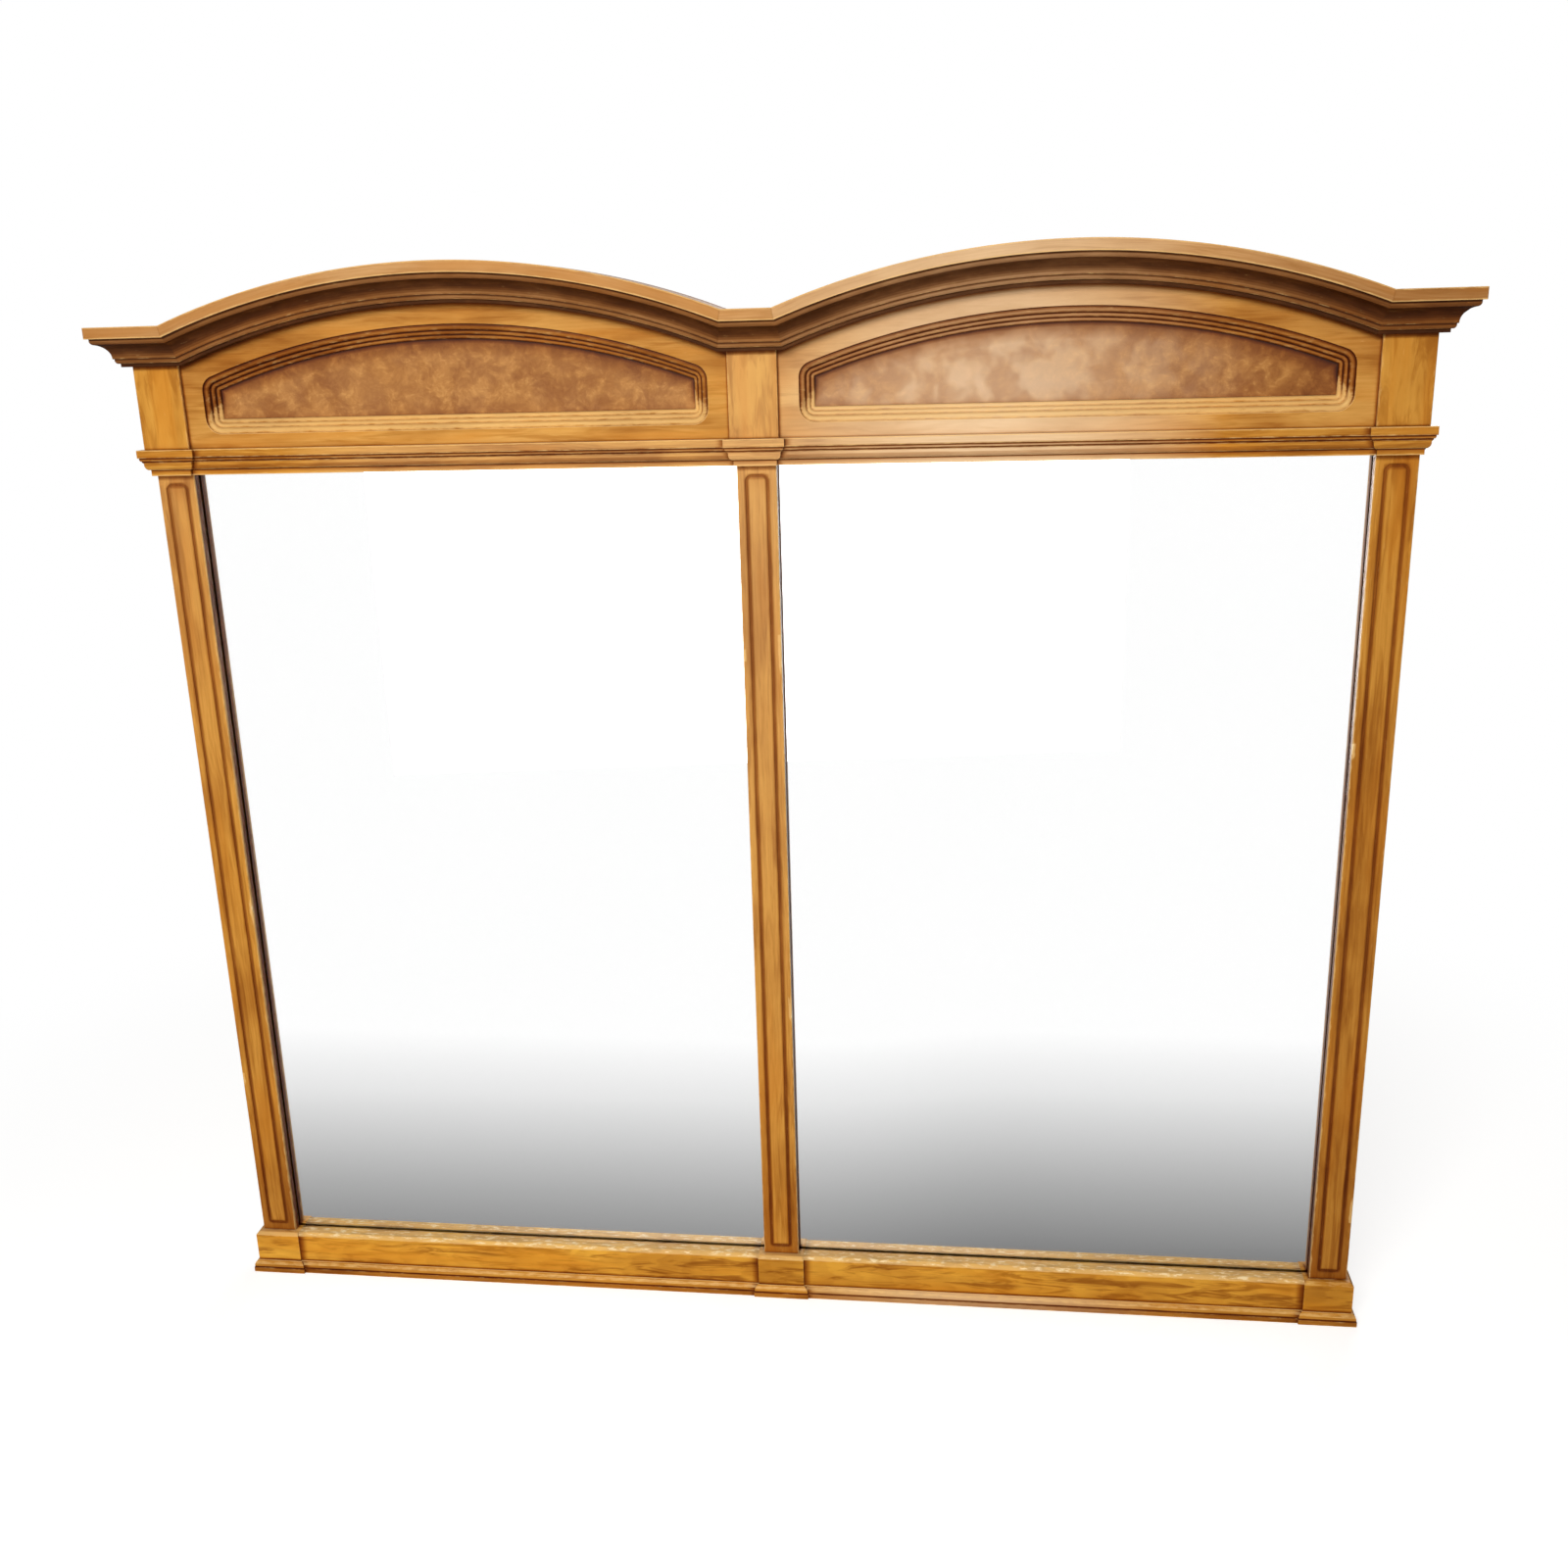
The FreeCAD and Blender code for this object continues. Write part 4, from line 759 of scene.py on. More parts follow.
def moulding_tree():
    """Geometry nodes that run a profile along a straight or arched length. The profile is
    a loop of points that carry where they start (lead) and end (tail)."""
    tree = bpy.data.node_groups.new("moulded_length", "GeometryNodeTree")
    sockets = (
        ("Profile", "INPUT", "NodeSocketGeometry", None),
        ("Steps", "INPUT", "NodeSocketInt", 24),
        ("Arched", "INPUT", "NodeSocketFloat", 0.0),
        ("Arch Radius", "INPUT", "NodeSocketFloat", 1.0),
        ("Arch Centre", "INPUT", "NodeSocketVector", (0.0, 0.0, 0.0)),
        ("Turn", "INPUT", "NodeSocketFloat", 0.0),
        ("Place", "INPUT", "NodeSocketVector", (0.0, 0.0, 0.0)),
        ("Grain Offset", "INPUT", "NodeSocketVector", (0.0, 0.0, 0.0)),
        ("End Glaze", "INPUT", "NodeSocketFloat", 0.0),
        ("End Reach", "INPUT", "NodeSocketFloat", 0.008),
        ("Finish", "INPUT", "NodeSocketMaterial", None),
        ("Length", "OUTPUT", "NodeSocketGeometry", None),
    )
    for name, way, kind, default in sockets:
        socket = tree.interface.new_socket(name=name, in_out=way, socket_type=kind)
        if default is not None:
            socket.default_value = default
    bench = Bench(tree)
    given = bench.node("NodeGroupInput").outputs

    def named(name, kind="FLOAT"):
        return bench.node("GeometryNodeInputNamedAttribute", {"data_type": kind},
                          {"Name": name}).outputs[0]

    def keep(geometry, name, kind, value):
        return bench.node("GeometryNodeStoreNamedAttribute", {
            "data_type": kind, "domain": "POINT"}, {
            "Geometry": geometry, "Name": name, "Value": value}).outputs[0]

    # The line that carries the profile is one unit long, with closer steps near its ends
    loop = bench.node("GeometryNodeMeshToCurve", inputs={"Mesh": given["Profile"]}).outputs[0]
    line = bench.node("GeometryNodeCurvePrimitiveLine", inputs={
        "Start": (0.0, 0.0, 0.0), "End": (1.0, 0.0, 0.0)}).outputs[0]
    line = bench.node("GeometryNodeResampleCurve", {"mode": "COUNT"}, {
        "Curve": line, "Count": given["Steps"]}).outputs[0]
    share = bench.node("GeometryNodeSplineParameter").outputs["Factor"]
    wave = bench.maths("COSINE", bench.maths("MULTIPLY", share, math.pi))
    line = keep(line, "share", "FLOAT", bench.maths("MULTIPLY_ADD", wave, -0.5, 0.5))
    skin = bench.node("GeometryNodeCurveToMesh", inputs={
        "Curve": line, "Profile Curve": loop, "Fill Caps": True}).outputs[0]

    lead, tail, part = named("lead"), named("tail"), named("share")
    section = named("section", "FLOAT_VECTOR")
    _, depth, height = bench.parted(section)
    length = bench.maths("SUBTRACT", tail, lead)
    along = bench.maths("MULTIPLY_ADD", length, part, lead)

    # An arched length turns about the arch's centre, and along is then an angle
    centre_x, _, centre_z = bench.parted(given["Arch Centre"])
    reach = bench.maths("SUBTRACT", height, centre_z)
    bent_x = bench.maths("MULTIPLY_ADD", reach, bench.maths("SINE", along), centre_x)
    bent_z = bench.maths("MULTIPLY_ADD", reach, bench.maths("COSINE", along), centre_z)
    arched = given["Arched"]
    straight = bench.maths("SUBTRACT", 1.0, arched)
    x = bench.maths("ADD", bench.maths("MULTIPLY", bent_x, arched),
                    bench.maths("MULTIPLY", along, straight))
    z = bench.maths("ADD", bench.maths("MULTIPLY", bent_z, arched),
                    bench.maths("MULTIPLY", height, straight))
    spun = bench.node("ShaderNodeVectorRotate", {"rotation_type": "Z_AXIS"}, {
        "Vector": bench.joined(x, depth, z), "Angle": given["Turn"]}).outputs[0]
    place = bench.vector("ADD", spun, given["Place"])

    # Grain follows the length, and the ends take more glaze where they meet a corner
    scale = bench.maths("ADD", straight, bench.maths("MULTIPLY", arched, given["Arch Radius"]))
    run = bench.maths("MULTIPLY", along, scale)
    grain = bench.vector("ADD", bench.joined(run, height, depth), given["Grain Offset"])
    nearer = bench.maths("MINIMUM", bench.maths("SUBTRACT", along, lead),
                         bench.maths("SUBTRACT", tail, along))
    nearer = bench.maths("DIVIDE", bench.maths("MULTIPLY", nearer, scale), given["End Reach"])
    ends = bench.maths("SUBTRACT", 1.0, nearer, clamp=True)
    ends = bench.maths("MULTIPLY", bench.maths("POWER", ends, 1.5), given["End Glaze"])
    glaze = bench.maths("MAXIMUM", named("glaze"), ends)

    skin = keep(skin, "grain", "FLOAT_VECTOR", grain)
    skin = keep(skin, "glaze", "FLOAT", glaze)
    skin = bench.node("GeometryNodeSetPosition", inputs={
        "Geometry": skin, "Position": place}).outputs[0]
    skin = bench.node("GeometryNodeRealizeInstances", inputs={"Geometry": skin}).outputs[0]
    skin = bench.node("GeometryNodeSetMaterial", inputs={
        "Geometry": skin, "Material": given["Finish"]}).outputs[0]
    out = bench.node("NodeGroupOutput")
    bench.feed(out.inputs["Length"], skin)
    return tree


def tree_named(name, maker):
    return bpy.data.node_groups.get(name) or maker()


def evaluated_mesh(obj, tree, values):
    """The plain mesh that a geometry node tree gives on an object."""
    modifier = obj.modifiers.new("nodes", "NODES")
    modifier.node_group = tree
    for item in tree.interface.items_tree:
        if item.item_type == "SOCKET" and item.in_out == "INPUT" and item.name in values:
            modifier[item.identifier] = values[item.name]
    graph = bpy.context.evaluated_depsgraph_get()
    graph.update()
    mesh = bpy.data.meshes.new_from_object(obj.evaluated_get(graph), depsgraph=graph)
    obj.modifiers.remove(modifier)
    return mesh


def add_object(name, mesh):
    obj = bpy.data.objects.new(name, mesh)
    bpy.context.scene.collection.objects.link(obj)
    return obj


def smoothed(mesh, sharp=SHARP_ANGLE):
    """Shades a mesh smooth but for its sharp edges."""
    mesh.shade_smooth()
    mesh.set_sharp_from_angle(angle=math.radians(sharp))


def poured(shell, mesh):
    """Writes a worked shell into a mesh and lets the shell go."""
    shell.to_mesh(mesh)
    shell.free()
    return mesh


def outward(mesh):
    """Turns all faces outwards, and shades the mesh smooth but for its sharp edges."""
    shell = bmesh.new()
    shell.from_mesh(mesh)
    bmesh.ops.recalc_face_normals(shell, faces=shell.faces)
    smoothed(poured(shell, mesh))


def moulded(name, outline, ends, finish, offset, steps=24, arch=None, turn=0.0,
            place=(0.0, 0.0, 0.0), end_glaze=0.0, end_reach=0.008, stain=0.0):
    """A moulded length. ends gives where each point of the outline starts and stops."""
    mesh = bpy.data.meshes.new(name)
    count = len(outline)
    mesh.from_pydata([(0.0, y, z) for y, z, _, _ in outline],
                     [(index, (index + 1) % count) for index in range(count)], [])
    stamp(mesh, "section", [n for y, z, _, _ in outline for n in (0.0, y, z)], "FLOAT_VECTOR")
    spans = [ends(y, z) for y, z, _, _ in outline]
    for key, values in (("lead", [span[0] for span in spans]),
                        ("tail", [span[1] for span in spans]),
                        ("glaze", [point[2] for point in outline]),
                        ("wear", [point[3] for point in outline])):
        stamp(mesh, key, values)
    obj = add_object(name, mesh)
    values = {"Steps": steps, "Turn": turn, "Place": place, "Grain Offset": offset,
              "End Glaze": end_glaze, "End Reach": end_reach, "Finish": finish}
    if arch:
        values.update({"Arched": 1.0, "Arch Radius": arch[0],
                       "Arch Centre": (arch[1], 0.0, arch[2])})
    made = evaluated_mesh(obj, tree_named("moulded_length", moulding_tree), values)
    for spare in ("section", "lead", "tail", "share"):
        if spare in made.attributes:
            made.attributes.remove(made.attributes[spare])
    store_stain_and_light(made, stain)
    outward(made)
    obj.data = made
    bpy.data.meshes.remove(mesh)
    made.name = name
    return obj


def twin(obj, name, offset, stain=0.0):
    """The same piece on the other side of the middle, cut from another length of wood."""
    mesh = obj.data.copy()
    shell = bmesh.new()
    shell.from_mesh(mesh)
    for vert in shell.verts:
        vert.co.x = -vert.co.x
    bmesh.ops.reverse_faces(shell, faces=shell.faces)
    poured(shell, mesh)
    grain = mesh.attributes["grain"].data
    values = [0.0] * (len(grain) * 3)
    grain.foreach_get("vector", values)
    for index in range(0, len(values), 3):
        for axis in range(3):
            values[index + axis] += offset[axis]
    grain.foreach_set("vector", values)
    store_stain_and_light(mesh, stain)
    smoothed(mesh)
    return add_object(name, mesh)


def book(obj, slot, *nodes):
    """A finished piece rides on the frame and stands for its CAD nodes."""
    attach(obj, "root")
    if nodes:
        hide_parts(*nodes)
    return obj


def pair(obj, label, slot, node, offset=(0.83, 0.41, 0.17), stain=0.0):
    """Books a right-hand piece and its left-hand twin, each with its own depth of staining, which
    holds painted light and shade too.
    """
    other = twin(obj, f"{label}_left", offset, stain)
    book(obj, slot, f"{node}_right")
    book(other, slot, f"{node}_left")


# Bars and blocks


def stamp(mesh, name, values, kind="FLOAT"):
    """Stores a value on each point of a mesh."""
    layer = mesh.attributes.get(name) or mesh.attributes.new(name, kind, "POINT")
    layer.data.foreach_set("vector" if kind == "FLOAT_VECTOR" else "value", values)


def store_stain_and_light(mesh, stain):
    """Stores the depth of staining with painted light and shade, which is a number or is told from a
    point's place.
    """
    stamp(mesh, "stain", [stain(vert.co) if callable(stain) else stain
                          for vert in mesh.vertices])


def eased(share):
    """Zero below zero, one above one, and a smooth step between."""
    share = min(1.0, max(0.0, share))
    return share * share * (3 - 2 * share)


def faded(base, painted_light=0.0, painted_shade=0.0):
    """Staining of a piece along the mirror with painted light and shade: paler in a painted pool
    of light in the right bay, and deeper with painted shade towards the mirror's two ends."""
    def stain(place):
        in_lit_pool = 1.0 - eased(abs(place.x - LIT_POOL_MIDDLE) / LIT_POOL_REACH)
        outer = eased((abs(place.x) - END_SHADE_FROM) / END_SHADE_RUN)
        return base - painted_light * in_lit_pool + painted_shade * outer
    return stain


def worked_copy(node, name, soften, width, cuts, marks, order, offset, finish, stain=0.0):
    """A copy of a CAD node with its chosen edges softened, cut into smaller faces along
    the given planes, and with grain, dark coats of glazing and painted shade, pale marks of
    rubbing and painted highlights, and staining with painted light and shade stored on its points."""
    shell = bmesh.new()
    shell.from_mesh(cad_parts[node].data)
    bmesh.ops.remove_doubles(shell, verts=shell.verts, dist=DOUBLES)
    bmesh.ops.dissolve_limit(shell, angle_limit=math.radians(1.0), verts=shell.verts,
                             edges=shell.edges)
    chosen = [edge for edge in shell.edges
              if len(edge.link_faces) == 2 and edge.calc_face_angle() > math.radians(WORKED_ANGLE)
              and soften(edge)]
    bmesh.ops.bevel(shell, geom=chosen, offset=width, segments=3, profile=0.5,
                    affect="EDGES", clamp_overlap=True)
    for axis, places in cuts.items():
        normal = Vector([1.0 if letter == axis else 0.0 for letter in "xyz"])
        for place in places:
            bmesh.ops.bisect_plane(shell, geom=shell.verts[:] + shell.edges[:] + shell.faces[:],
                                   dist=0.000001, plane_co=normal * place, plane_no=normal)
    mesh = poured(shell, bpy.data.meshes.new(name))
    axes = ["xyz".index(letter) for letter in order]
    places = [vert.co.copy() for vert in mesh.vertices]
    worked = [marks(place) for place in places]
    stamp(mesh, "grain", [place[axis] + shift for place in places
                          for axis, shift in zip(axes, offset)], "FLOAT_VECTOR")
    stamp(mesh, "glaze", [glaze for glaze, _ in worked])
    stamp(mesh, "wear", [wear for _, wear in worked])
    store_stain_and_light(mesh, stain)
    smoothed(mesh)
    mesh.materials.append(finish)
    return add_object(name, mesh)


def fading(distance, reach, power=1.4):
    """One at no distance, and nothing from reach on."""
    return max(0.0, 1 - abs(distance) / reach) ** power


def near_front(limit):
    """Edges whose two ends lie in front of a depth."""
    return lambda edge: all(vert.co.y < limit for vert in edge.verts)


def plinth_arris(edge):
    """Outer edges of a plinth block above its foot, but not those of its rebates behind."""
    return edge.calc_face_angle_signed() > 0 and all(
        vert.co.z > 0.001 and vert.co.y < BACK - 0.003
        and (vert.co.y < GLASS_FACE - 0.002 or vert.co.z > POST_FOOT - 0.001)
        for vert in edge.verts)


def around(middle, *reaches):
    """Places on both sides of a middle, at so many millimetres."""
    return [middle + side * reach * MM for reach in reaches for side in (-1, 1)]


def groove_distance(across, height, shape):
    """How far a point of a post's face lies from its scratched line."""
    half = POST_HALF - shape.groove_margin
    low = POST_FOOT + shape.groove_end
    high = OPENING_TOP - shape.groove_end
    radius = (0.003 if height < (low + high) / 2 else 0.007)
    dx = abs(across) - (half - radius)
    dz = abs(height - (low + high) / 2) - ((high - low) / 2 - radius)
    outside = math.hypot(max(dx, 0.0), max(dz, 0.0))
    return outside + min(max(dx, dz), 0.0) - radius


class MIRROR_OT_posts(bpy.types.Operator):
    """Makes the three posts with their scratched lines, worn edges with painted highlights, and
    painted shade beside the glass and under the capitals
    """

    bl_idname = "mirror.posts"
    bl_label = "Posts"

    # Chips in the finish: post, side, height and half length in metres
    CHIPS = (
        ("centre", 1, 0.905, 0.012), ("centre", 1, 0.886, 0.005), ("centre", -1, 0.893, 0.006),
        ("centre", 1, 0.42, 0.004), ("right", 1, 0.155, 0.009), ("right", -1, 0.78, 0.005),
        ("left", 1, 0.55, 0.004), ("left", -1, 0.30, 0.005),
    )

    def execute(self, context):
        shape = context.scene.mirror_shape
        face = POST_FACE + 2.2 * MM
        rub_and_highlight = 2.6 * MM
        # Each post's grain offset, and its staining at its foot and at its head: deeper at the foot
        # as painted shade, paler towards the head as painted light
        for label, middle, offset, foot, head in (
                ("centre", 0.0, (0.3, 0.02, 0.0), 0.0, -0.22),
                ("right", SPACING, (1.9, -0.70, 0.01), 0.55, 0.08),
                ("left", -SPACING, (3.4, 0.74, -0.02), 0.10, -0.14)):
            chips = [(side, height, half) for post, side, height, half in self.CHIPS
                     if post == label]

            def marks(place, middle=middle, chips=chips):
                across, height = place.x - middle, place.z
                glaze = wear = 0.0
                front = place.y < face
                if front:
                    # The scratched line holds glazing, and more of it towards the foot; outside the
                    # line the face is darker towards the foot
                    away = groove_distance(across, height, shape)
                    depth = 0.55 + 0.27 * fading(height - POST_FOOT, 0.5, 1.0)
                    glaze = depth * fading(max(0.0, abs(away) - 0.0010), 0.0036)
                    if away > 0:
                        glaze = max(glaze, 0.05 + 0.30 * fading(height - POST_FOOT, 0.20))
                    # The arrises are rubbed and carry a painted highlight, and are bare where they
                    # are chipped
                    edge = POST_HALF - abs(across)
                    wear = 0.85 * fading(edge, rub_and_highlight) if edge < rub_and_highlight else 0.0
                    for side, at, half in chips:
                        if across * side > 0 and abs(height - at) < half + 0.002:
                            wear = max(wear, 1.5 * fading(edge, 0.005, 0.7))
                # Glazing over the plinth, and glazing with painted shade under the capital's
                # overhang
                contact = max(fading(height - OPENING_TOP, 0.007),
                              fading(height - POST_FOOT, 0.005))
                if POST_FOOT <= height <= OPENING_TOP + 0.002:
                    glaze = max(glaze, 0.8 * contact)
                # The sides beside the glass are painted dark as shade, less on the right post
                inner = abs(place.x) < SPACING and POST_HALF - abs(across) < 0.0004
                if inner and not front:
                    glaze = 0.75 if place.x < BAY_MIDDLE else 0.5
                return glaze, wear

            # Planes that cut the post into faces small enough for its dark and pale marks
            levels = [POST_FOOT + 0.045 + 0.02 * number for number in range(50)]
            levels += around(POST_FOOT + shape.groove_end, 2.2, 3.6, 5.2)
            levels += around(OPENING_TOP - shape.groove_end, 2.2, 3.6, 5.2)
            levels += [POST_FOOT + 0.002, POST_FOOT + 0.005, OPENING_TOP - 0.003,
                       OPENING_TOP - 0.007]
            for _, height, half in chips:
                levels += around(height, half / MM, half / MM + 2)
            line = POST_HALF - shape.groove_margin
            sides = []
            for side in (-1, 1):
                sides += around(middle + side * line, 2.3, 3.9)
                sides += [middle + side * (POST_HALF - reach * MM) for reach in (1.6, 2.7, 5.0)]
            obj = worked_copy(
                f"post_{label}", f"grooved_post_{label}", near_front(POST_FACE + 0.002), 0.0005,
                {"z": levels, "x": sides, "y": [face, GLASS_FACE - 0.005]},
                marks, "zxy", offset, finishes()["post"],
                lambda place, foot=foot, head=head: foot + (head - foot) * max(
                    0.0, (place.z - POST_FOOT) / (OPENING_TOP - POST_FOOT)) ** 1.4)
            book(obj, "frame_wood", f"post_{label}")
        return {"FINISHED"}


class MIRROR_OT_plinths(bpy.types.Operator):
    """Makes the three plinth blocks with their chamfered tops"""

    bl_idname = "mirror.plinths"
    bl_label = "Plinth blocks"

    def execute(self, context):
        shape = context.scene.mirror_shape
        # Each plinth's grain offset, its staining, and how strongly its top edge is rubbed and
        # carries a painted highlight
        for label, middle, offset, stain, rub_and_highlight in (
                ("centre", 0.0, (0.5, 0.01, 0.02), 0.50, 1.3),
                ("right", SPACING, (1.2, -0.11, 0.05), 0.50, 0.5),
                ("left", -SPACING, (2.6, 0.21, 0.01), 0.0, 1.0)):

            def marks(place, middle=middle, rub_and_highlight=rub_and_highlight):
                edge = PLINTH_HALF - abs(place.x - middle)
                top = POST_FOOT - place.z
                wear = glaze = 0.0
                # Rubbed edges in front with a painted highlight along the lit top, and glazing over
                # the base moulding
                if place.y < PLINTH_FACE + 0.012:
                    wear = max(0.25 * fading(edge, 0.003), rub_and_highlight * fading(top - 0.003, 0.0025),
                               0.8 * rub_and_highlight * fading(top, 0.003))
                    glaze = 0.85 * fading(place.z - BASE_TOP, 0.004)
                # A painted highlight over the chamfer on top, which faces the light
                if 0.0002 < top < 0.0040 and place.y < PLINTH_FACE + 0.006:
                    wear = rub_and_highlight
                # Glaze beside the rails and round the post's foot
                inner = abs(place.x) < SPACING - PLINTH_HALF + 0.001
                if inner and edge < 0.0005:
                    glaze = max(glaze, 0.8 * fading(place.y - RAIL_FACE, 0.0025))
                if top < 0.0005:
                    near_post = max(abs(place.x - middle) - POST_HALF, POST_FACE - place.y, 0.0)
                    glaze = max(glaze, 0.8 * fading(near_post, 0.004))
                return glaze, wear

            obj = worked_copy(
                f"plinth_block_{label}", f"plinth_{label}", plinth_arris, shape.block_arris,
                {"z": [BASE_TOP + reach * MM for reach in (0, 1.5, 4, 8)]
                 + [POST_FOOT - reach * MM for reach in (5.5, 8, 14)],
                 "x": around(middle, PLINTH_HALF / MM - 3, PLINTH_HALF / MM - 6)
                 + around(middle, POST_HALF / MM, POST_HALF / MM + 3.5),
                 "y": [PLINTH_FACE + 0.006, RAIL_FACE - 0.001, RAIL_FACE + 0.0025,
                       POST_FACE, POST_FACE - 0.003]},
                marks, "xzy", offset, finishes()["rail"], stain)
            book(obj, "frame_wood", f"plinth_block_{label}")
        return {"FINISHED"}


class MIRROR_OT_frieze_blocks(bpy.types.Operator):
    """Makes the three upright blocks between the capitals and the crown"""

    bl_idname = "mirror.frieze_blocks"
    bl_label = "Frieze blocks"

    def execute(self, context):
        shape = context.scene.mirror_shape
        # Each block's grain offset, and its staining, paler in the middle as painted light and
        # deeper on the right as painted shade
        for label, middle, offset, stain in (("centre", 0.0, (0.1, 0.03, 0.0), -0.16),
                                             ("right", SPACING, (2.3, -0.66, 0.03), 0.34),
                                             ("left", -SPACING, (4.1, 0.77, 0.05), 0.10)):

            def marks(place, middle=middle):
                edge = BLOCK_HALF - abs(place.x - middle)
                front = place.y < BLOCK_FACE + 0.004
                wear = 0.6 * fading(edge, 0.0028) if front else 0.0
                # Glazing over the capital, and painted shade under the crown's overhang
                glaze = max(0.35 * fading(place.z - CAPITAL_TOP, 0.0025),
                            1.05 * fading(place.z - CROWN_FOOT, 0.005)
                            if place.z <= CROWN_FOOT + 0.001 else 0.95)
                # Behind, nothing touches the blocks
                if place.y > BOARD_BACK - 0.001:
                    glaze = 0.12
                # Glazing and painted shade on the sides beside the sunk boards
                inner = abs(place.x) < SPACING + BLOCK_HALF - 0.001
                if inner and edge < 0.0005:
                    glaze = max(glaze, 0.75 * fading(place.y - BOARD_FACE, 0.0035))
                return glaze, wear

            obj = worked_copy(
                f"frieze_block_{label}", f"upright_block_{label}",
                near_front(BLOCK_FACE + 0.001), shape.block_arris,
                {"z": [CAPITAL_TOP + reach * MM for reach in (1.5, 3, 5.5, 12)]
                 + [CROWN_FOOT - reach * MM for reach in (0, 2, 5, 9, 16)],
                 "x": around(middle, BLOCK_HALF / MM - 3, BLOCK_HALF / MM - 6),
                 "y": [BLOCK_FACE + 0.003, BOARD_FACE - 0.0012, BOARD_FACE]},
                marks, "zxy", offset, finishes()["block"], stain)
            book(obj, "frame_wood", f"frieze_block_{label}")
        return {"FINISHED"}


class MIRROR_OT_bottom_rails(bpy.types.Operator):
    """Makes the two rails under the glass, rebated behind"""

    bl_idname = "mirror.bottom_rails"
    bl_label = "Bottom rails"

    def execute(self, context):
        shape = context.scene.mirror_shape
        glass_low = node_span("mirror_glass_right", "z")[0]
        backing_low = POST_FOOT - BACKING_REBATE
        corners = [(RAIL_FACE, 0.0), (BACK, 0.0), (BACK, backing_low), (GLASS_BACK, backing_low),
                   (GLASS_BACK, glass_low), (GLASS_FACE, glass_low), (GLASS_FACE, POST_FOOT),
                   (RAIL_FACE + RAIL_CHAMFER, POST_FOOT),
                   (RAIL_FACE, POST_FOOT - RAIL_CHAMFER), (RAIL_FACE, BASE_TOP)]
        marked = []
        for y, z, glaze, wear in softened(corners, shape.block_arris):
            # Glazing over the base moulding, glazing with painted shade in the corner at the glass,
            # and a rubbed ledge with a painted highlight, as it faces the light
            base = 0.85 * fading(z - BASE_TOP, 0.004) if y < RAIL_FACE + 0.001 else 0.0
            lip = 0.9 * fading(y - GLASS_FACE, 0.002) if z > POST_FOOT - 0.001 else 0.0
            if z > POST_FOOT - 0.0036 and RAIL_FACE + 0.0002 < y < GLASS_FACE - 0.004:
                wear = 1.35
            marked.append((y, z, max(glaze, base, lip), wear))
        start, stop = PLINTH_HALF, SPACING - PLINTH_HALF
        obj = moulded("glass_rail_right", marked, lambda y, z: (start, stop), finishes()["rail"],
                      (0.35, -0.03, 0.0), 90, end_glaze=1.0, end_reach=0.012,
                      stain=faded(0.16, 0.0, 0.10))
        pair(obj, "glass_rail", "frame_wood", "bottom_rail", (-0.02, 0.009, 0.03), 0.0)
        return {"FINISHED"}


def length_ends(start, stop, spread, face):
    """Mitred ends of a length: spread 1 round a block, and -1 between two blocks."""
    def ends(y, z):
        reach = max(0.0, face - y) * spread
        return start - reach, stop + reach
    return ends


def return_ends(face, back, cornered):
    """Ends of a return, whose local depth below zero is how far it stands out."""
    def ends(y, z):
        reach = max(0.0, -y)
        return face - reach, back - (reach if cornered else 0.0)
    return ends


def planted(steps, reach, top, arris, back=0.0, hollow_dark_reach=HOLLOW_DARK_REACH):
    """Outline of a planted moulding that stands out by reach from a face at zero depth."""
    points = traced(steps, -reach, top)
    foot = points[-1][1]
    return softened(points + [(back, foot), (back, top)], arris, hollow_dark_reach)


def moved(outline, depth):
    return [(y + depth, z, glaze, wear) for y, z, glaze, wear in outline]


def block_mouldings(stem, labels, outlines, half, face, depth, corner, slot, finish, steps,
                    stains_and_light):
    """Fronts and returns of a moulding that wraps the three blocks. labels are the CAD
    node stems of its fronts and returns, outlines their two outlines, and stains those of
    centre, right and left: their staining, with painted shade deeper on the right."""
    front_node, return_node = labels
    central, righter, lefter = stains_and_light
    front_outline, outline = outlines
    fronts = moved(front_outline, face)
    centre = moulded(f"{stem}_front_centre", fronts, length_ends(-half, half, 1, face), finish,
                     (0.2, 0.03, 0.1), steps, stain=central)
    book(centre, slot, f"{front_node}_centre")
    right = moulded(f"{stem}_front_right", fronts,
                    length_ends(SPACING - half, SPACING + half, 1, face), finish,
                    (0.7, -0.02, 0.06), steps, stain=righter)
    pair(right, f"{stem}_front", slot, front_node, stain=lefter)

    def side_piece(label, side, ends, offset, count, **more):
        """Returns are run along Y, standing out towards +X from a block's side."""
        return moulded(f"{stem}_{label}", outline, ends, finish, offset, count,
                       turn=math.pi / 2, place=(side, 0.0, 0.0), **more)

    outer = side_piece("return_right", SPACING + half, return_ends(face, depth, False),
                       (1.3, 0.05, 0.0), steps, stain=righter)
    pair(outer, f"{stem}_return", slot, f"{return_node}_return")
    cornered = return_ends(face, corner, True)
    inner = side_piece("centre_return_right", half, cornered, (1.6, 0.02, 0.03), 12,
                       end_glaze=0.9, end_reach=0.005)
    pair(inner, f"{stem}_centre_return", slot, f"{return_node}_centre_return")
    # The left block's inner return stands out towards +X, and its twin is the right one's
    left = side_piece("inner_return_left", half - SPACING, cornered, (2.1, 0.04, 0.01), 12,
                      end_glaze=0.9, end_reach=0.005)
    other = twin(left, f"{stem}_inner_return_right", (0.4, 0.2, 0.1))
    book(left, slot, f"{return_node}_inner_return_left")
    book(other, slot, f"{return_node}_inner_return_right")


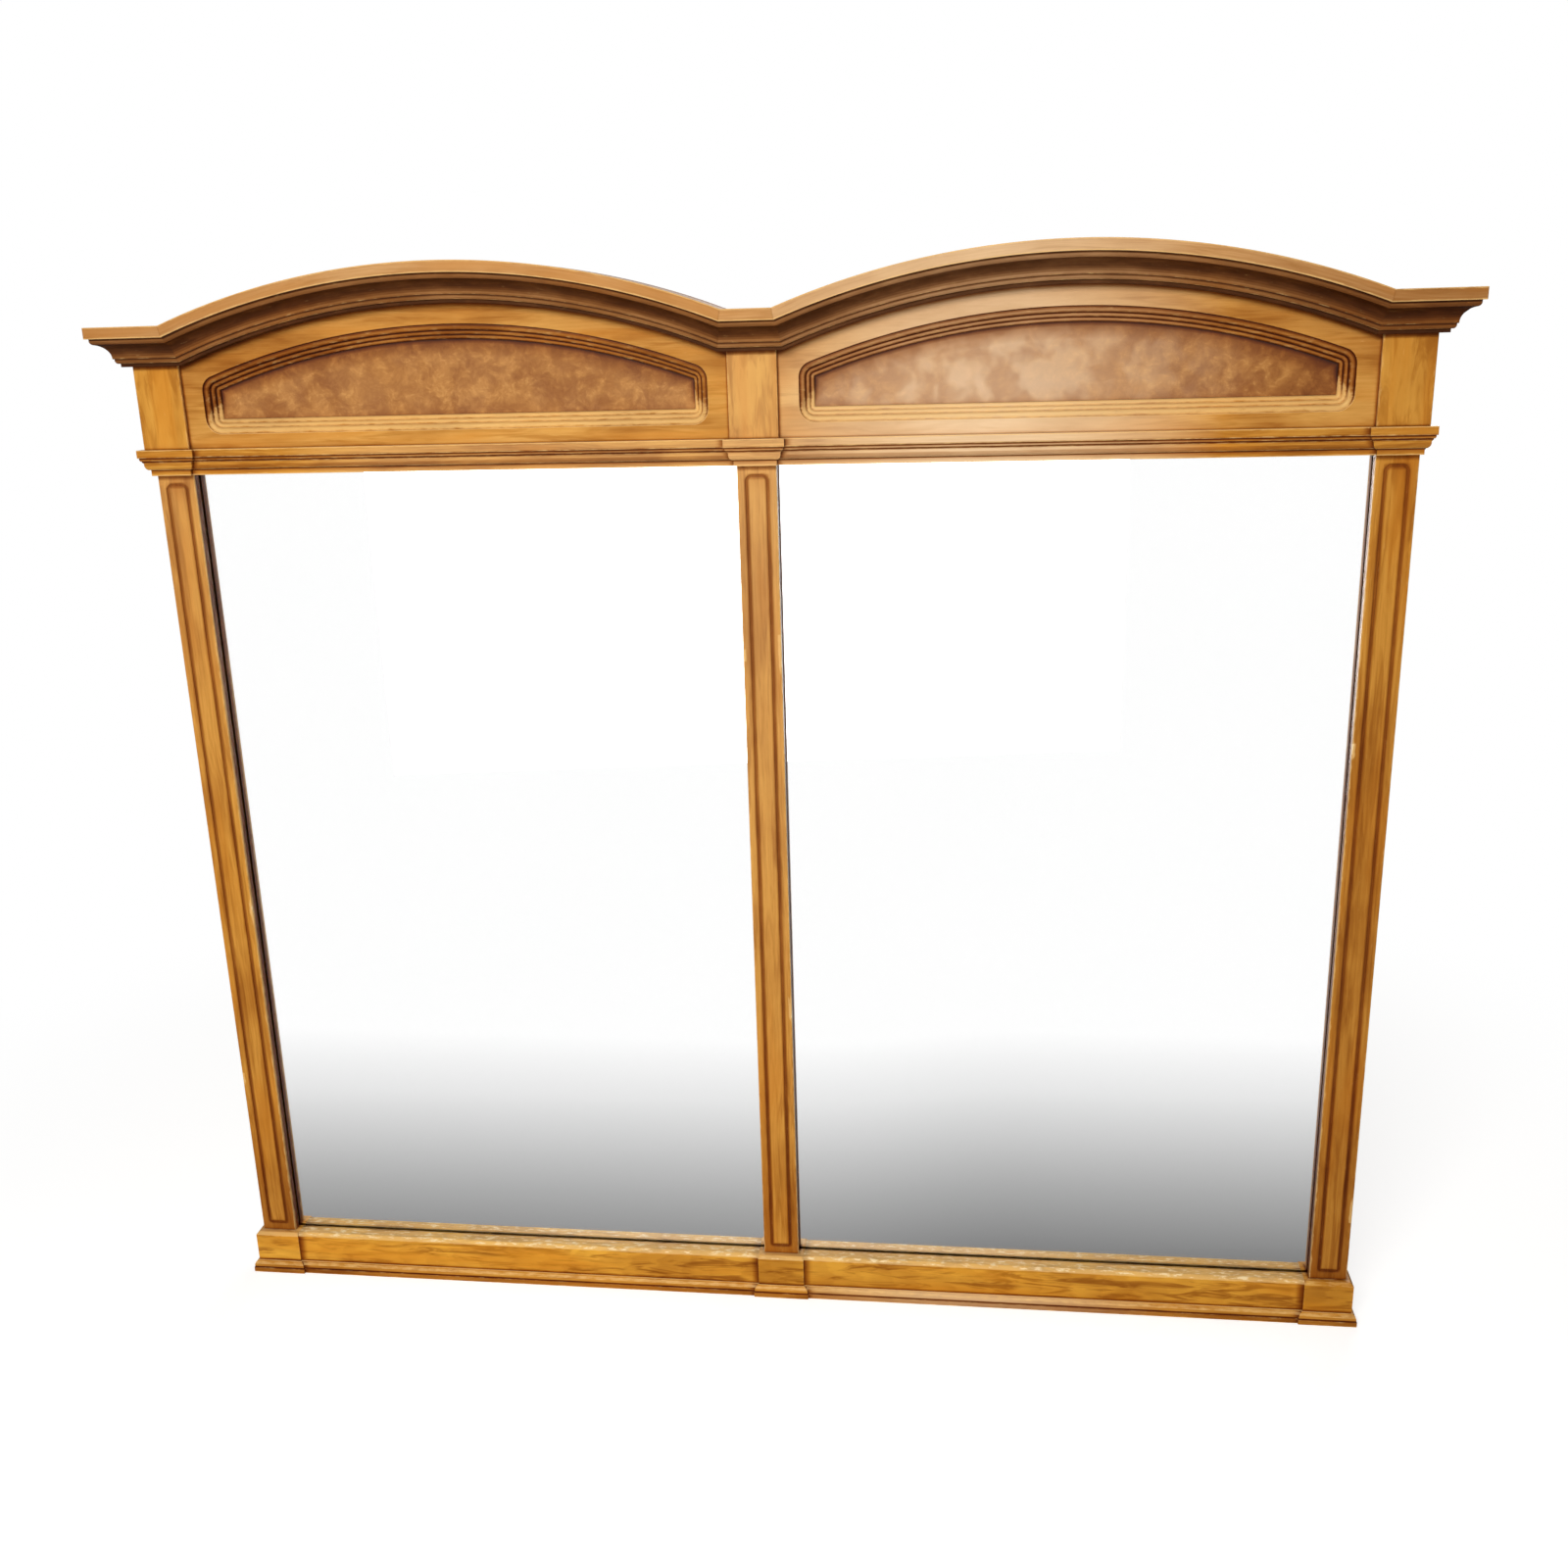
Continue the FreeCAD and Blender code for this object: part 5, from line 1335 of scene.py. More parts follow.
class MIRROR_OT_base_mouldings(bpy.types.Operator):
    """Plants the base moulding round the plinth blocks and along the rails"""

    bl_idname = "mirror.base_mouldings"
    bl_label = "Base mouldings"

    def execute(self, context):
        shape = context.scene.mirror_shape
        reach = PLINTH_FACE - node_span("base_moulding_front_right", "y")[0]
        base_run = sum(run for _, run, _, _ in BASE_STEPS) * MM
        points = traced(BASE_STEPS, -reach - base_run, BASE_TOP)
        outline = softened(points + [(0.0, 0.0), (0.0, BASE_TOP)], shape.arris, 1.8)
        outline = shaded(outline, 0.0, BASE_TOP - 10 * MM, 0.20)
        # The round's shoulder is paler: a painted highlight over rubbed wood
        outline = [(y, z, glaze, 0.6 if -0.005 < z - BASE_TOP < -0.0015 and y < -0.001 else wear)
                   for y, z, glaze, wear in outline]
        finish = finishes()["moulding"]
        block_mouldings("foot", ("base_moulding_front", "base_moulding"), (outline, outline),
                        PLINTH_HALF, PLINTH_FACE, BACK, RAIL_FACE, "frame_wood", finish, 30,
                        (0.05, 0.25, 0.0))
        rail = moulded("foot_rail_right", moved(outline, RAIL_FACE),
                       length_ends(PLINTH_HALF, SPACING - PLINTH_HALF, -1, RAIL_FACE), finish,
                       (0.9, 0.01, 0.02), 60, end_glaze=0.85, end_reach=0.010,
                       stain=faded(0.05, 0.65, 0.2))
        pair(rail, "foot_rail", "frame_wood", "base_moulding_rail", stain=0.05)
        return {"FINISHED"}


class MIRROR_OT_capitals(bpy.types.Operator):
    """Makes the string rails over the glass and the capitals round the posts"""

    bl_idname = "mirror.capitals"
    bl_label = "String rails and capitals"

    def execute(self, context):
        shape = context.scene.mirror_shape
        reach = BLOCK_HALF - POST_HALF + shape.capital_overhang
        capital_face = node_span("capital_front_right", "y")[0] + reach
        string_front = node_span("string_rail_right", "y")[0]
        finish = finishes()["moulding"]
        outline = planted(CAPITAL_STEPS, reach, CAPITAL_TOP, shape.arris, hollow_dark_reach=2.1)
        fronts = planted(CAPITAL_STEPS, reach, CAPITAL_TOP, shape.arris,
                         back=POST_FACE - capital_face, hollow_dark_reach=2.1)
        block_mouldings("capital_moulding", ("capital_front", "capital"), (fronts, outline),
                        POST_HALF, capital_face, BACK, string_front + reach, "frame_wood",
                        finish, 30, (-0.28, 0.35, 0.0))
        # The string rail's section has the glass and backing rebates behind
        points = traced(CAPITAL_STEPS, string_front, CAPITAL_TOP)
        foot = points[-1][1]
        glass_head, backing_head = foot + GLASS_REBATE, foot + BACKING_REBATE
        corners = points + [(GLASS_FACE, foot), (GLASS_FACE, glass_head),
                            (GLASS_BACK, glass_head), (GLASS_BACK, backing_head),
                            (BACK, backing_head), (BACK, CAPITAL_TOP)]
        section = softened(corners, shape.arris, 2.1)
        section = shaded(section, CAPITAL_TOP - 24 * MM, CAPITAL_TOP - 18.6 * MM, 0.2)
        rail = moulded("string_moulding_right", section,
                       length_ends(POST_HALF, SPACING - POST_HALF, -1, string_front + reach),
                       finish, (0.4, 0.02, 0.0), 90, end_glaze=0.7, end_reach=0.009,
                       stain=faded(-0.15, 0.80, 0.55))
        pair(rail, "string_moulding", "frame_wood", "string_rail",
             stain=faded(-0.20, 0.0, 0.28))
        return {"FINISHED"}


# Frieze boards


def arch_numbers(shape):
    """Radius of the board's arched top and height of its centre."""
    rise = shape.arch_rise
    radius = (BAY_HALF ** 2 + rise ** 2) / (2 * rise)
    return radius, CROWN_TOP + rise - radius


def bay_loop(half, low, radius, centre, corner):
    """Points (across, height) of an arched outline with rounded corners, counted alike
    for every size, so that loops can be joined."""
    corner = max(corner, 0.0003)
    across = half - corner
    up = math.sqrt((radius - corner) ** 2 - across ** 2)
    lean = math.atan2(across, up)
    points = []

    def bend(middle_x, middle_z, first, last, count):
        for number in range(count):
            angle = first + (last - first) * number / count
            points.append((middle_x + corner * math.cos(angle),
                           middle_z + corner * math.sin(angle)))

    def run(x0, z0, x1, z1, count):
        for number in range(count):
            share = 0.5 - 0.5 * math.cos(math.pi * number / count)
            points.append((x0 + (x1 - x0) * share, z0 + (z1 - z0) * share))

    foot_count, side_count, corner_count, arch_count = 56, 14, 12, 96
    run(-across, low, across, low, foot_count)
    bend(across, low + corner, -math.pi / 2, 0.0, corner_count)
    shoulder = centre + up
    run(half, low + corner, half, shoulder, side_count)
    bend(across, shoulder, 0.0, math.pi / 2 - lean, corner_count)
    for number in range(arch_count):
        share = 0.5 - 0.5 * math.cos(math.pi * number / arch_count)
        angle = lean - 2 * lean * share
        points.append((radius * math.sin(angle), centre + radius * math.cos(angle)))
    bend(-across, shoulder, math.pi / 2 + lean, math.pi, corner_count)
    run(-half, shoulder, -half, low + corner, side_count)
    bend(-across, low + corner, math.pi, math.pi * 1.5, corner_count)
    return points


def recess_loop(shape, inset):
    """Outline of the recess, or of a step inside it."""
    radius, centre = arch_numbers(shape)
    return bay_loop(BAY_HALF - shape.recess_side - inset,
                    CAPITAL_TOP + shape.recess_foot + inset,
                    radius - CROWN_HEIGHT - shape.recess_head - inset, centre,
                    shape.recess_corner - inset)


def recess_section():
    """The recess's profile from the board's face down to the burl, as (inset, depth, dark coats,
    pale marks): a quirk, then rounds that rise out of dark hollows of glazing with painted
    shade, with a painted sheen on the rounds."""
    section = [(-0.3, 0.0, 0.15, 0.6), (-0.05, 0.12, 0.35, 0.6), (0.1, 0.5, 1.0, 0.0),
               (0.2, 1.3, 1.4, 0.0)]
    for _, inset, depth, width, drop, flat in RECESS_ROUNDS:
        # The hollow, its far wall and the flat top of the round
        section.append((inset + 0.35, depth + 0.25, 1.6, 0.0))
        section.append((inset + 0.7, depth + 0.25, 1.5, 0.0))
        section.append((inset + 1.1, depth + 0.04, 1.1, 0.0))
        crest = inset + flat
        section.append((crest + 0.4, depth, 0.42, 0.4))
        for number in range(1, 11):
            angle = math.pi / 2 * number / 10
            reach, sunk = math.sin(angle), 1 - math.cos(angle)
            glaze = 0.36 + 1.3 * max(0.0, sunk - 0.12) ** 1.1
            section.append((crest + (inset + width - crest) * reach, depth + drop * sunk * 0.93,
                            glaze, 0.6 * math.sin(angle * 2) ** 2))
        section.append((inset + width, depth + drop, 1.8, 0.0))
    return [(inset * MM, depth * MM, glaze, wear) for inset, depth, glaze, wear in section]


def head_shade_share(loop):
    """How much of the dark coats stay round the recess, as painted shade: little of them on the
    lit foot, and all of them at the head and sides."""
    low = min(z for _, z in loop)
    return [0.10 + 0.90 * min(1.0, max(0.0, (z - low - 0.004) / 0.02)) for _, z in loop]


def between(one, other, share):
    """A loop that lies part of the way from one to another."""
    return [(a[0] + (b[0] - a[0]) * share, a[1] + (b[1] - a[1]) * share)
            for a, b in zip(one, other)]


def loop_shell(name, rings, finish, offset, stain=0.0):
    """A closed shell from rings of (loop, depth, dark coats of glazing and painted shade, pale
    marks of rubbing and painted highlights), whose last two are numbers or lists of one for each
    point. The first and last ring are filled with a face each."""
    shell = bmesh.new()
    made = []
    grains, glaze_and_shade_values, wear_and_highlight_values = [], [], []
    for loop, depth, glaze, wear in rings:
        ring = []
        for index, (x, z) in enumerate(loop):
            ring.append(shell.verts.new((BAY_MIDDLE + x, depth, z)))
            grains += (x + offset[0], z + offset[1], depth + offset[2])
            glaze_and_shade_values.append(glaze[index] if isinstance(glaze, list) else glaze)
            wear_and_highlight_values.append(wear[index] if isinstance(wear, list) else wear)
        made.append(ring)
    for ring, after in zip(made, made[1:]):
        count = len(ring)
        for index in range(count):
            step = (index + 1) % count
            shell.faces.new((ring[index], ring[step], after[step], after[index]))
    shell.faces.new(made[0])
    shell.faces.new(made[-1])
    bmesh.ops.recalc_face_normals(shell, faces=shell.faces)
    mesh = poured(shell, bpy.data.meshes.new(name))
    stamp(mesh, "grain", grains, "FLOAT_VECTOR")
    stamp(mesh, "glaze", glaze_and_shade_values)
    stamp(mesh, "wear", wear_and_highlight_values)
    store_stain_and_light(mesh, stain)
    smoothed(mesh)
    mesh.materials.append(finish)
    return add_object(name, mesh)


class MIRROR_OT_frieze_boards(bpy.types.Operator):
    """Makes the two arched boards with their stepped and reeded recesses"""

    bl_idname = "mirror.frieze_boards"
    bl_label = "Frieze boards"

    def execute(self, context):
        shape = context.scene.mirror_shape
        radius, centre = arch_numbers(shape)
        crown_foot = radius - CROWN_HEIGHT
        outer = bay_loop(BAY_HALF, CAPITAL_TOP, radius, centre, 0.0005)
        under_crown = bay_loop(BAY_HALF, CAPITAL_TOP, crown_foot, centre, 0.0005)
        halo = recess_loop(shape, -0.0008)

        def edge_glaze_and_shade(loop):
            """Glazing and painted shade on the face near the blocks, the capital and the crown's
            foot, and a broad painted shade further under the crown.
            """
            values = []
            for x, z in loop:
                to_block = BAY_HALF - abs(x)
                to_capital = z - CAPITAL_TOP
                to_crown = crown_foot - math.hypot(x, z - centre)
                values.append(max(0.8 * fading(max(to_block, 0), 0.0035),
                                  0.3 * fading(max(to_capital, 0), 0.002),
                                  1.1 * fading(max(to_crown, 0), 0.0045, 1.2),
                                  0.17 * fading(max(to_crown, 0), 0.04, 1.0)))
            return values

        rings = [(outer, BOARD_BACK, 0.0, 0.0), (outer, BOARD_FACE, 1.0, 0.0)]
        shares = (0.0, 0.05, 0.12, 0.2, 0.3, 0.42, 0.56, 0.7, 0.84, 0.94, 1.0)
        for share in shares:
            loop = between(under_crown, halo, share)
            rings.append((loop, BOARD_FACE, edge_glaze_and_shade(loop), 0.0))
        for inset, depth, glaze, wear in recess_section():
            loop = recess_loop(shape, inset)
            kept = [glaze * lean for lean in head_shade_share(loop)]
            # The lit foot of the recess gets a painted highlight, besides the rubbing of its rounds
            rubbed_and_lit = [min(1.0, 0.7 * (1 - lean) + wear * (1.9 - 1.4 * lean))
                      for lean in head_shade_share(loop)]
            rings.append((loop, BOARD_FACE + depth, kept, rubbed_and_lit))
        rings.append((recess_loop(shape, RECESS_FLOOR), BURL_BACK, 1.0, 0.0))
        obj = loop_shell("arched_board_right", rings, finishes()["frieze"], (0.4, -1.19, 0.0),
                         stain=faded(-0.02, 0.95, 0.30))
        pair(obj, "arched_board", "frieze_wood", "frieze_board", (1.7, 0.013, 0.02),
             faded(0.02, 0.0, 0.28))
        return {"FINISHED"}


class MIRROR_OT_burl_panels(bpy.types.Operator):
    """Lays the two burl panels on the floors of the recesses"""

    bl_idname = "mirror.burl_panels"
    bl_label = "Burl panels"

    def execute(self, context):
        shape = context.scene.mirror_shape
        inset = RECESS_FLOOR + 0.0002
        rings = [(recess_loop(shape, inset), BURL_BACK, 0.0, 0.0)]
        for extra, glaze in BURL_EDGE_SHADE:
            loop = recess_loop(shape, inset + extra)
            kept = [glaze * lean for lean in head_shade_share(loop)]
            rings.append((loop, BURL_FACE, kept, 0.0))
        obj = loop_shell("burl_veneer_right", rings, finishes()["burl"], (0.0, 0.0, 0.0),
                         stain=lambda place: (place.x - LIT_POOL_MIDDLE) / LIT_POOL_REACH)
        pair(obj, "burl_veneer", "burl_veneer", "burl_panel", (2.9, 1.3, 0.7), PLAIN_BURL)
        return {"FINISHED"}


# Crown


class MIRROR_OT_crown(bpy.types.Operator):
    """Runs the crown moulding over the blocks, the arches and the ends"""

    bl_idname = "mirror.crown"
    bl_label = "Crown moulding"

    def execute(self, context):
        shape = context.scene.mirror_shape
        finish = finishes()["crown"]
        reach = BLOCK_FACE - CROWN_FACE
        radius, centre = arch_numbers(shape)
        # The mitres lean from where the feet of arch and flat meet to where their tops do
        foot_radius = radius - CROWN_HEIGHT
        foot_half = math.sqrt(foot_radius ** 2 - (CROWN_FOOT - centre) ** 2)
        lean = (BAY_HALF - foot_half) / CROWN_HEIGHT
        slope = math.atan(lean)

        def outline(top, back):
            base = planted(CROWN_STEPS, reach, top, shape.arris, back)
            for near, far, coats in CROWN_SHADE_COATS:
                base = shaded(base, top - far * MM, top - near * MM, coats)
            return base

        def arch_ends(y, z):
            """Each point of an arch ends on the leaning mitre plane."""
            mitre_foot = foot_half + lean * (centre - CROWN_FOOT)
            angle = slope + math.asin(mitre_foot / ((z - centre) * math.hypot(1, lean)))
            return -angle, angle

        arch = moulded("arched_crown_right",
                       moved(outline(CROWN_TOP + shape.arch_rise, BOARD_FACE - BLOCK_FACE),
                             BLOCK_FACE),
                       arch_ends, finish, (0.3, -0.9, 0.02), shape.arch_steps,
                       stain=faded(0.0, 0.58, 0.55),
                       arch=(radius - CROWN_HEIGHT / 2, BAY_MIDDLE, centre), **JOINT_LINE)
        pair(arch, "arched_crown", "crown_wood", "crown_arch", stain=faded(0.05, 0.0, 0.30))

        def mitre(z):
            """How far a flat length reaches from its block's middle at a height."""
            return BAY_MIDDLE - (foot_half + lean * (z - CROWN_FOOT))

        flat = moved(outline(CROWN_TOP, BOARD_FACE - BLOCK_FACE), BLOCK_FACE)
        centre_flat = moulded("flat_crown_centre", flat, lambda y, z: (-mitre(z), mitre(z)),
                              finish, (1.1, -0.8, 0.05), 30, **JOINT_LINE)
        book(centre_flat, "crown_wood", "crown_flat_centre")
        end = SPACING + BLOCK_HALF
        # The right-hand flat length and return take deeper staining than their twins on the left, as
        # painted shade towards the right end
        right_flat = moulded(
            "flat_crown_right", flat,
            lambda y, z: (SPACING - mitre(z), end + max(0.0, BLOCK_FACE - y)), finish,
            (1.7, -0.7, 0.01), 30, stain=0.72, **JOINT_LINE)
        pair(right_flat, "flat_crown", "crown_wood", "crown_flat", stain=0.34)
        side = moulded("return_crown_right", outline(CROWN_TOP, 0.0),
                       return_ends(BLOCK_FACE, BACK, False), finish, (2.2, -0.75, 0.03), 30,
                       turn=math.pi / 2, place=(end, 0.0, 0.0), stain=0.65, **JOINT_LINE)
        pair(side, "return_crown", "crown_wood", "crown_return", stain=0.34)
        return {"FINISHED"}


# Glass, back and fasteners


def slab(name, low, high, arris, finish):
    """A plain sheet with ground edges."""
    shell = bmesh.new()
    bmesh.ops.create_cube(shell, size=1.0)
    for vert in shell.verts:
        vert.co = Vector([a + (b - a) * (c + 0.5) for a, b, c in zip(low, high, vert.co)])
    bmesh.ops.bevel(shell, geom=shell.edges[:], offset=arris, segments=1, affect="EDGES")
    mesh = poured(shell, bpy.data.meshes.new(name))
    mesh.materials.append(finish)
    return add_object(name, mesh)


class MIRROR_OT_glass(bpy.types.Operator):
    """Lays the two clear sheets of glass with their silvering behind"""

    bl_idname = "mirror.glass"
    bl_label = "Mirror glass"

    def execute(self, context):
        shape = context.scene.mirror_shape
        for side in ("right", "left"):
            low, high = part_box(f"mirror_glass_{side}")
            silver_face = high.y - shape.silvering
            # The silver stays clear of the glass and inside its edges
            gap, margin = 0.00005, 0.0004
            sheet = slab(f"glass_sheet_{side}", low, (high.x, silver_face - gap, high.z),
                         0.0003, finishes()["glass"])
            book(sheet, "mirror", f"mirror_glass_{side}")
            silver = slab(f"silvering_{side}", (low.x + margin, silver_face, low.z + margin),
                          (high.x - margin, high.y, high.z - margin), 0.00008,
                          finishes()["silver"])
            book(silver, "mirror", f"mirror_glass_{side}")
        return {"FINISHED"}


def screw_tree():
    """Geometry nodes that set one screw on each point of the object."""
    tree = bpy.data.node_groups.new("driven_screws", "GeometryNodeTree")
    for name, way, kind in (("Places", "INPUT", "NodeSocketGeometry"),
                            ("Screw", "INPUT", "NodeSocketObject"),
                            ("Scale", "INPUT", "NodeSocketFloat"),
                            ("Seed", "INPUT", "NodeSocketInt"),
                            ("Finish", "INPUT", "NodeSocketMaterial"),
                            ("Screws", "OUTPUT", "NodeSocketGeometry")):
        tree.interface.new_socket(name=name, in_out=way, socket_type=kind)
    bench = Bench(tree)
    given = bench.node("NodeGroupInput").outputs
    pattern = bench.node("GeometryNodeObjectInfo", inputs={
        "Object": given["Screw"]}).outputs["Geometry"]
    angle = bench.node("FunctionNodeRandomValue", {"data_type": "FLOAT"}, {
        "Seed": given["Seed"]})
    # Of a Random Value node, sockets 2 and 3 bound a number, which comes out of socket 1
    angle.inputs[2].default_value = 0.0
    angle.inputs[3].default_value = math.pi
    turn = bench.joined(0.0, angle.outputs[1], 0.0)
    on = bench.node("GeometryNodeInstanceOnPoints", inputs={
        "Points": given["Places"], "Instance": pattern, "Scale": given["Scale"]})
    turned = bench.node("FunctionNodeEulerToRotation", inputs={"Euler": turn}).outputs[0]
    bench.feed(on.inputs["Rotation"], turned)
    real = bench.node("GeometryNodeRealizeInstances", inputs={
        "Geometry": on.outputs[0]}).outputs[0]
    real = bench.node("GeometryNodeSetMaterial", inputs={
        "Geometry": real, "Material": given["Finish"]}).outputs[0]
    out = bench.node("NodeGroupOutput")
    bench.feed(out.inputs["Screws"], real)
    return tree


def screw_pattern(head, head_height, shank, length, point):
    """A countersunk screw with a crossed recess, its head at zero and its point forward."""
    shell = bmesh.new()
    facets = 24
    rings = []
    profile = [(head / 2 * 0.98, 0.0), (head / 2, 0.00015), (shank / 2, head_height),
               (shank / 2, length - point)]
    for radius, forward in profile:
        angles = [2 * math.pi * n / facets for n in range(facets)]
        rings.append([shell.verts.new((radius * math.cos(angle), -forward,
                                       radius * math.sin(angle))) for angle in angles])
    for ring, after in zip(rings, rings[1:]):
        for n in range(facets):
            m = (n + 1) % facets
            shell.faces.new((ring[n], ring[m], after[m], after[n]))
    tip = shell.verts.new((0.0, -length, 0.0))
    for n in range(facets):
        shell.faces.new((rings[-1][n], rings[-1][(n + 1) % facets], tip))

    # Crossed recess: a plus-shaped loop that narrows towards its floor
    slot, depth, reach = head * 0.11, head * 0.22, head * 0.30
    plus = [(reach, -slot), (reach, slot), (slot, slot), (slot, reach), (-slot, reach),
            (-slot, slot), (-reach, slot), (-reach, -slot), (-slot, -slot), (-slot, -reach),
            (slot, -reach), (slot, -slot)]
    rim = [shell.verts.new((x, 0.0, z)) for x, z in plus]
    low = [shell.verts.new((x * 0.45, -depth, z * 0.45)) for x, z in plus]
    count = len(plus)
    for n in range(count):
        m = (n + 1) % count
        shell.faces.new((rim[n], rim[m], low[m], low[n]))
    shell.faces.new(low)
    # The head's face joins each side of the plus to the rim's verts that lie beside it
    beside = [round(math.atan2(z, x) / (2 * math.pi) * facets) for x, z in plus]
    for n in range(count):
        m = (n + 1) % count
        span = (beside[m] - beside[n]) % facets
        fan = [rings[0][(beside[n] + k) % facets] for k in range(span + 1)]
        corners = [rim[m], rim[n]] + fan
        if len(set(corners)) > 2:
            shell.faces.new(corners)
    bmesh.ops.recalc_face_normals(shell, faces=shell.faces)
    mesh = poured(shell, bpy.data.meshes.new("screw_pattern"))
    return bpy.data.objects.new("screw_pattern", mesh)


def island_middles(node):
    """Middle of each separate solid of a CAD node."""
    shell = bmesh.new()
    shell.from_mesh(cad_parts[node].data)
    bmesh.ops.remove_doubles(shell, verts=shell.verts, dist=DOUBLES)
    waiting = set(shell.verts)
    middles = []
    while waiting:
        island = [waiting.pop()]
        for vert in island:
            near = {link.other_vert(vert) for link in vert.link_edges} & waiting
            waiting -= near
            island.extend(near)
        low = [min(vert.co[axis] for vert in island) for axis in range(3)]
        high = [max(vert.co[axis] for vert in island) for axis in range(3)]
        middles.append(((low[0] + high[0]) / 2, high[1], (low[2] + high[2]) / 2))
    shell.free()
    return sorted(middles)


def driven(name, node, sizes, seed):
    """All screws of one kind as one piece."""
    pattern = screw_pattern(*[size * MM for size in sizes])
    bpy.context.scene.collection.objects.link(pattern)
    mesh = bpy.data.meshes.new(name)
    mesh.from_pydata(island_middles(node), [], [])
    obj = add_object(name, mesh)
    made = evaluated_mesh(obj, tree_named("driven_screws", screw_tree), {
        "Screw": pattern, "Scale": 1.0, "Seed": seed, "Finish": finishes()["steel"]})
    smoothed(made, 30.0)
    obj.data = made
    bpy.data.meshes.remove(mesh)
    bpy.data.objects.remove(pattern)
    book(obj, "screw_steel", node)


class MIRROR_OT_back(bpy.types.Operator):
    """Drives the screws and finishes the backing boards, dowels and inserts"""

    bl_idname = "mirror.back"
    bl_label = "Back and fasteners"

    def execute(self, context):
        # Sizes in millimetres: head, its height, shank, length, point
        driven("small_screws", "backing_screws", (6.0, 1.8, 3.0, 12.0, 2.0), 3)
        driven("long_screws", "crown_screws", (8.0, 2.4, 4.0, 42.0, 3.0), 8)
        for node, finish in (("backing_board_right", "hardboard"),
                             ("backing_board_left", "hardboard"),
                             ("joint_dowels", "beech"), ("support_inserts", "brass")):
            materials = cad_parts[node].data.materials
            materials.clear()
            materials.append(finishes()[finish])
        return {"FINISHED"}


# Stage


# Lights: name, setting of their power, place, aim, size and tint
LIGHTS = (
    ("key_light", "key_power", (-0.5, -3.3, 2.75), (0.0, 0.0, 0.75), (2.0, 1.3),
     (1.0, 0.985, 0.95)),
    ("fill_light", "fill_power", (-0.4, -2.6, 0.4), (0.0, 0.0, 0.4), (2.2, 1.2),
     (1.0, 0.98, 0.95)),
    ("back_light", "back_power", (0.9, 3.2, 2.0), (0.0, 0.0, 0.7), (2.0, 1.3),
     (1.0, 0.985, 0.96)),
)
# The camera that was fitted to the photograph
CAMERA_PLACE = (0.2606, -1.8061, 1.2793)
CAMERA_TURN = (73.31754, 1.56593, 7.01297)
CAMERA_LENS, CAMERA_SENSOR = 35.404, 36.0
# Half the floor's side, and the light that lifts it towards white near the mirror
FLOOR_HALF = 30.0
FLOOR_LIFT = 0.66
# Painted shade on the floor, seen only in a mirror: from so far in front of the glass to its
# foot, glossy rays find the floor ever greyer. Each stop is a share of that way and its grey.
FADE_FAR, FADE_NEAR = -0.72, 0.03
FADE_STOPS = ((0.313, 0.80), (0.536, 0.585), (0.715, 0.415), (0.893, 0.27))
FADE_LAST = 0.18


def stage_floor_material(colour):
    """A pale floor that looks white, keeps shadows, and carries painted shade near the foot of
    the glass, where it is seen in a mirror."""
    material = bpy.data.materials.new("pale_floor")
    material.use_nodes = True
    tree = material.node_tree
    tree.nodes.clear()
    bench = Bench(tree)
    place = object_place(bench)
    x, y, _ = bench.parted(place)
    # The painted shade starts a little further out before the right-hand glass
    reach = bench.maths("MULTIPLY_ADD", bench.span(x, -0.05, 0.35), 0.075, y)
    far = bench.span(bench.vector("LENGTH", place), 0.9, 1.9)
    path = bench.node("ShaderNodeLightPath").outputs
    tooth = bench.mottle(place, 60.0, 3.0, 0.5)
    body = bench.blended(bench.span(tooth, 0.3, 0.7, 0.0, 0.05), rgba(colour),
                         rgba((0.56, 0.56, 0.56)))
    diffuse = bench.node("ShaderNodeBsdfDiffuse", inputs={"Color": body}).outputs[0]

    # The camera sees the floor lifted towards white near the mirror, and white far from it
    near = bench.node("ShaderNodeAddShader")
    bench.feed(near.inputs[0], diffuse)
    bench.feed(near.inputs[1], bench.glow(WHITE, FLOOR_LIFT))
    seen = bench.merged(far, near.outputs[0], bench.glow(WHITE))

    # Painted shade in mirrors: glossy rays see white far out and grey at the foot of the glass
    fade = bench.node("ShaderNodeValToRGB")
    bench.feed(fade.inputs[0], bench.span(reach, FADE_FAR, FADE_NEAR, smooth=False))
    stops = fade.color_ramp.elements
    stops[0].position, stops[0].color = 0.0, WHITE
    stops[1].position, stops[1].color = 1.0, rgba([FADE_LAST] * 3)
    for position, grey in FADE_STOPS:
        stops.new(position).color = rgba([grey] * 3)
    mirrored_painted_shade = bench.glow(fade.outputs[0])
    glossy = bench.maths("MAXIMUM", path["Is Glossy Ray"], path["Is Transmission Ray"])
    lit = bench.merged(path["Is Camera Ray"], diffuse, seen)
    out = bench.node("ShaderNodeOutputMaterial")
    bench.feed(out.inputs["Surface"], bench.merged(glossy, lit, mirrored_painted_shade))
    return material


def soft_light(name, place, aim, size, power, tint):
    """A large lamp at a place that looks at its aim."""
    lamp = bpy.data.lights.new(name, "AREA")
    lamp.shape = "RECTANGLE"
    lamp.size, lamp.size_y = size
    lamp.energy = power
    lamp.color = tint
    obj = bpy.data.objects.new(name, lamp)
    obj.location = place
    obj.rotation_euler = (Vector(aim) - Vector(place)).to_track_quat("-Z", "Y").to_euler()
    bpy.context.scene.collection.objects.link(obj)
    return obj


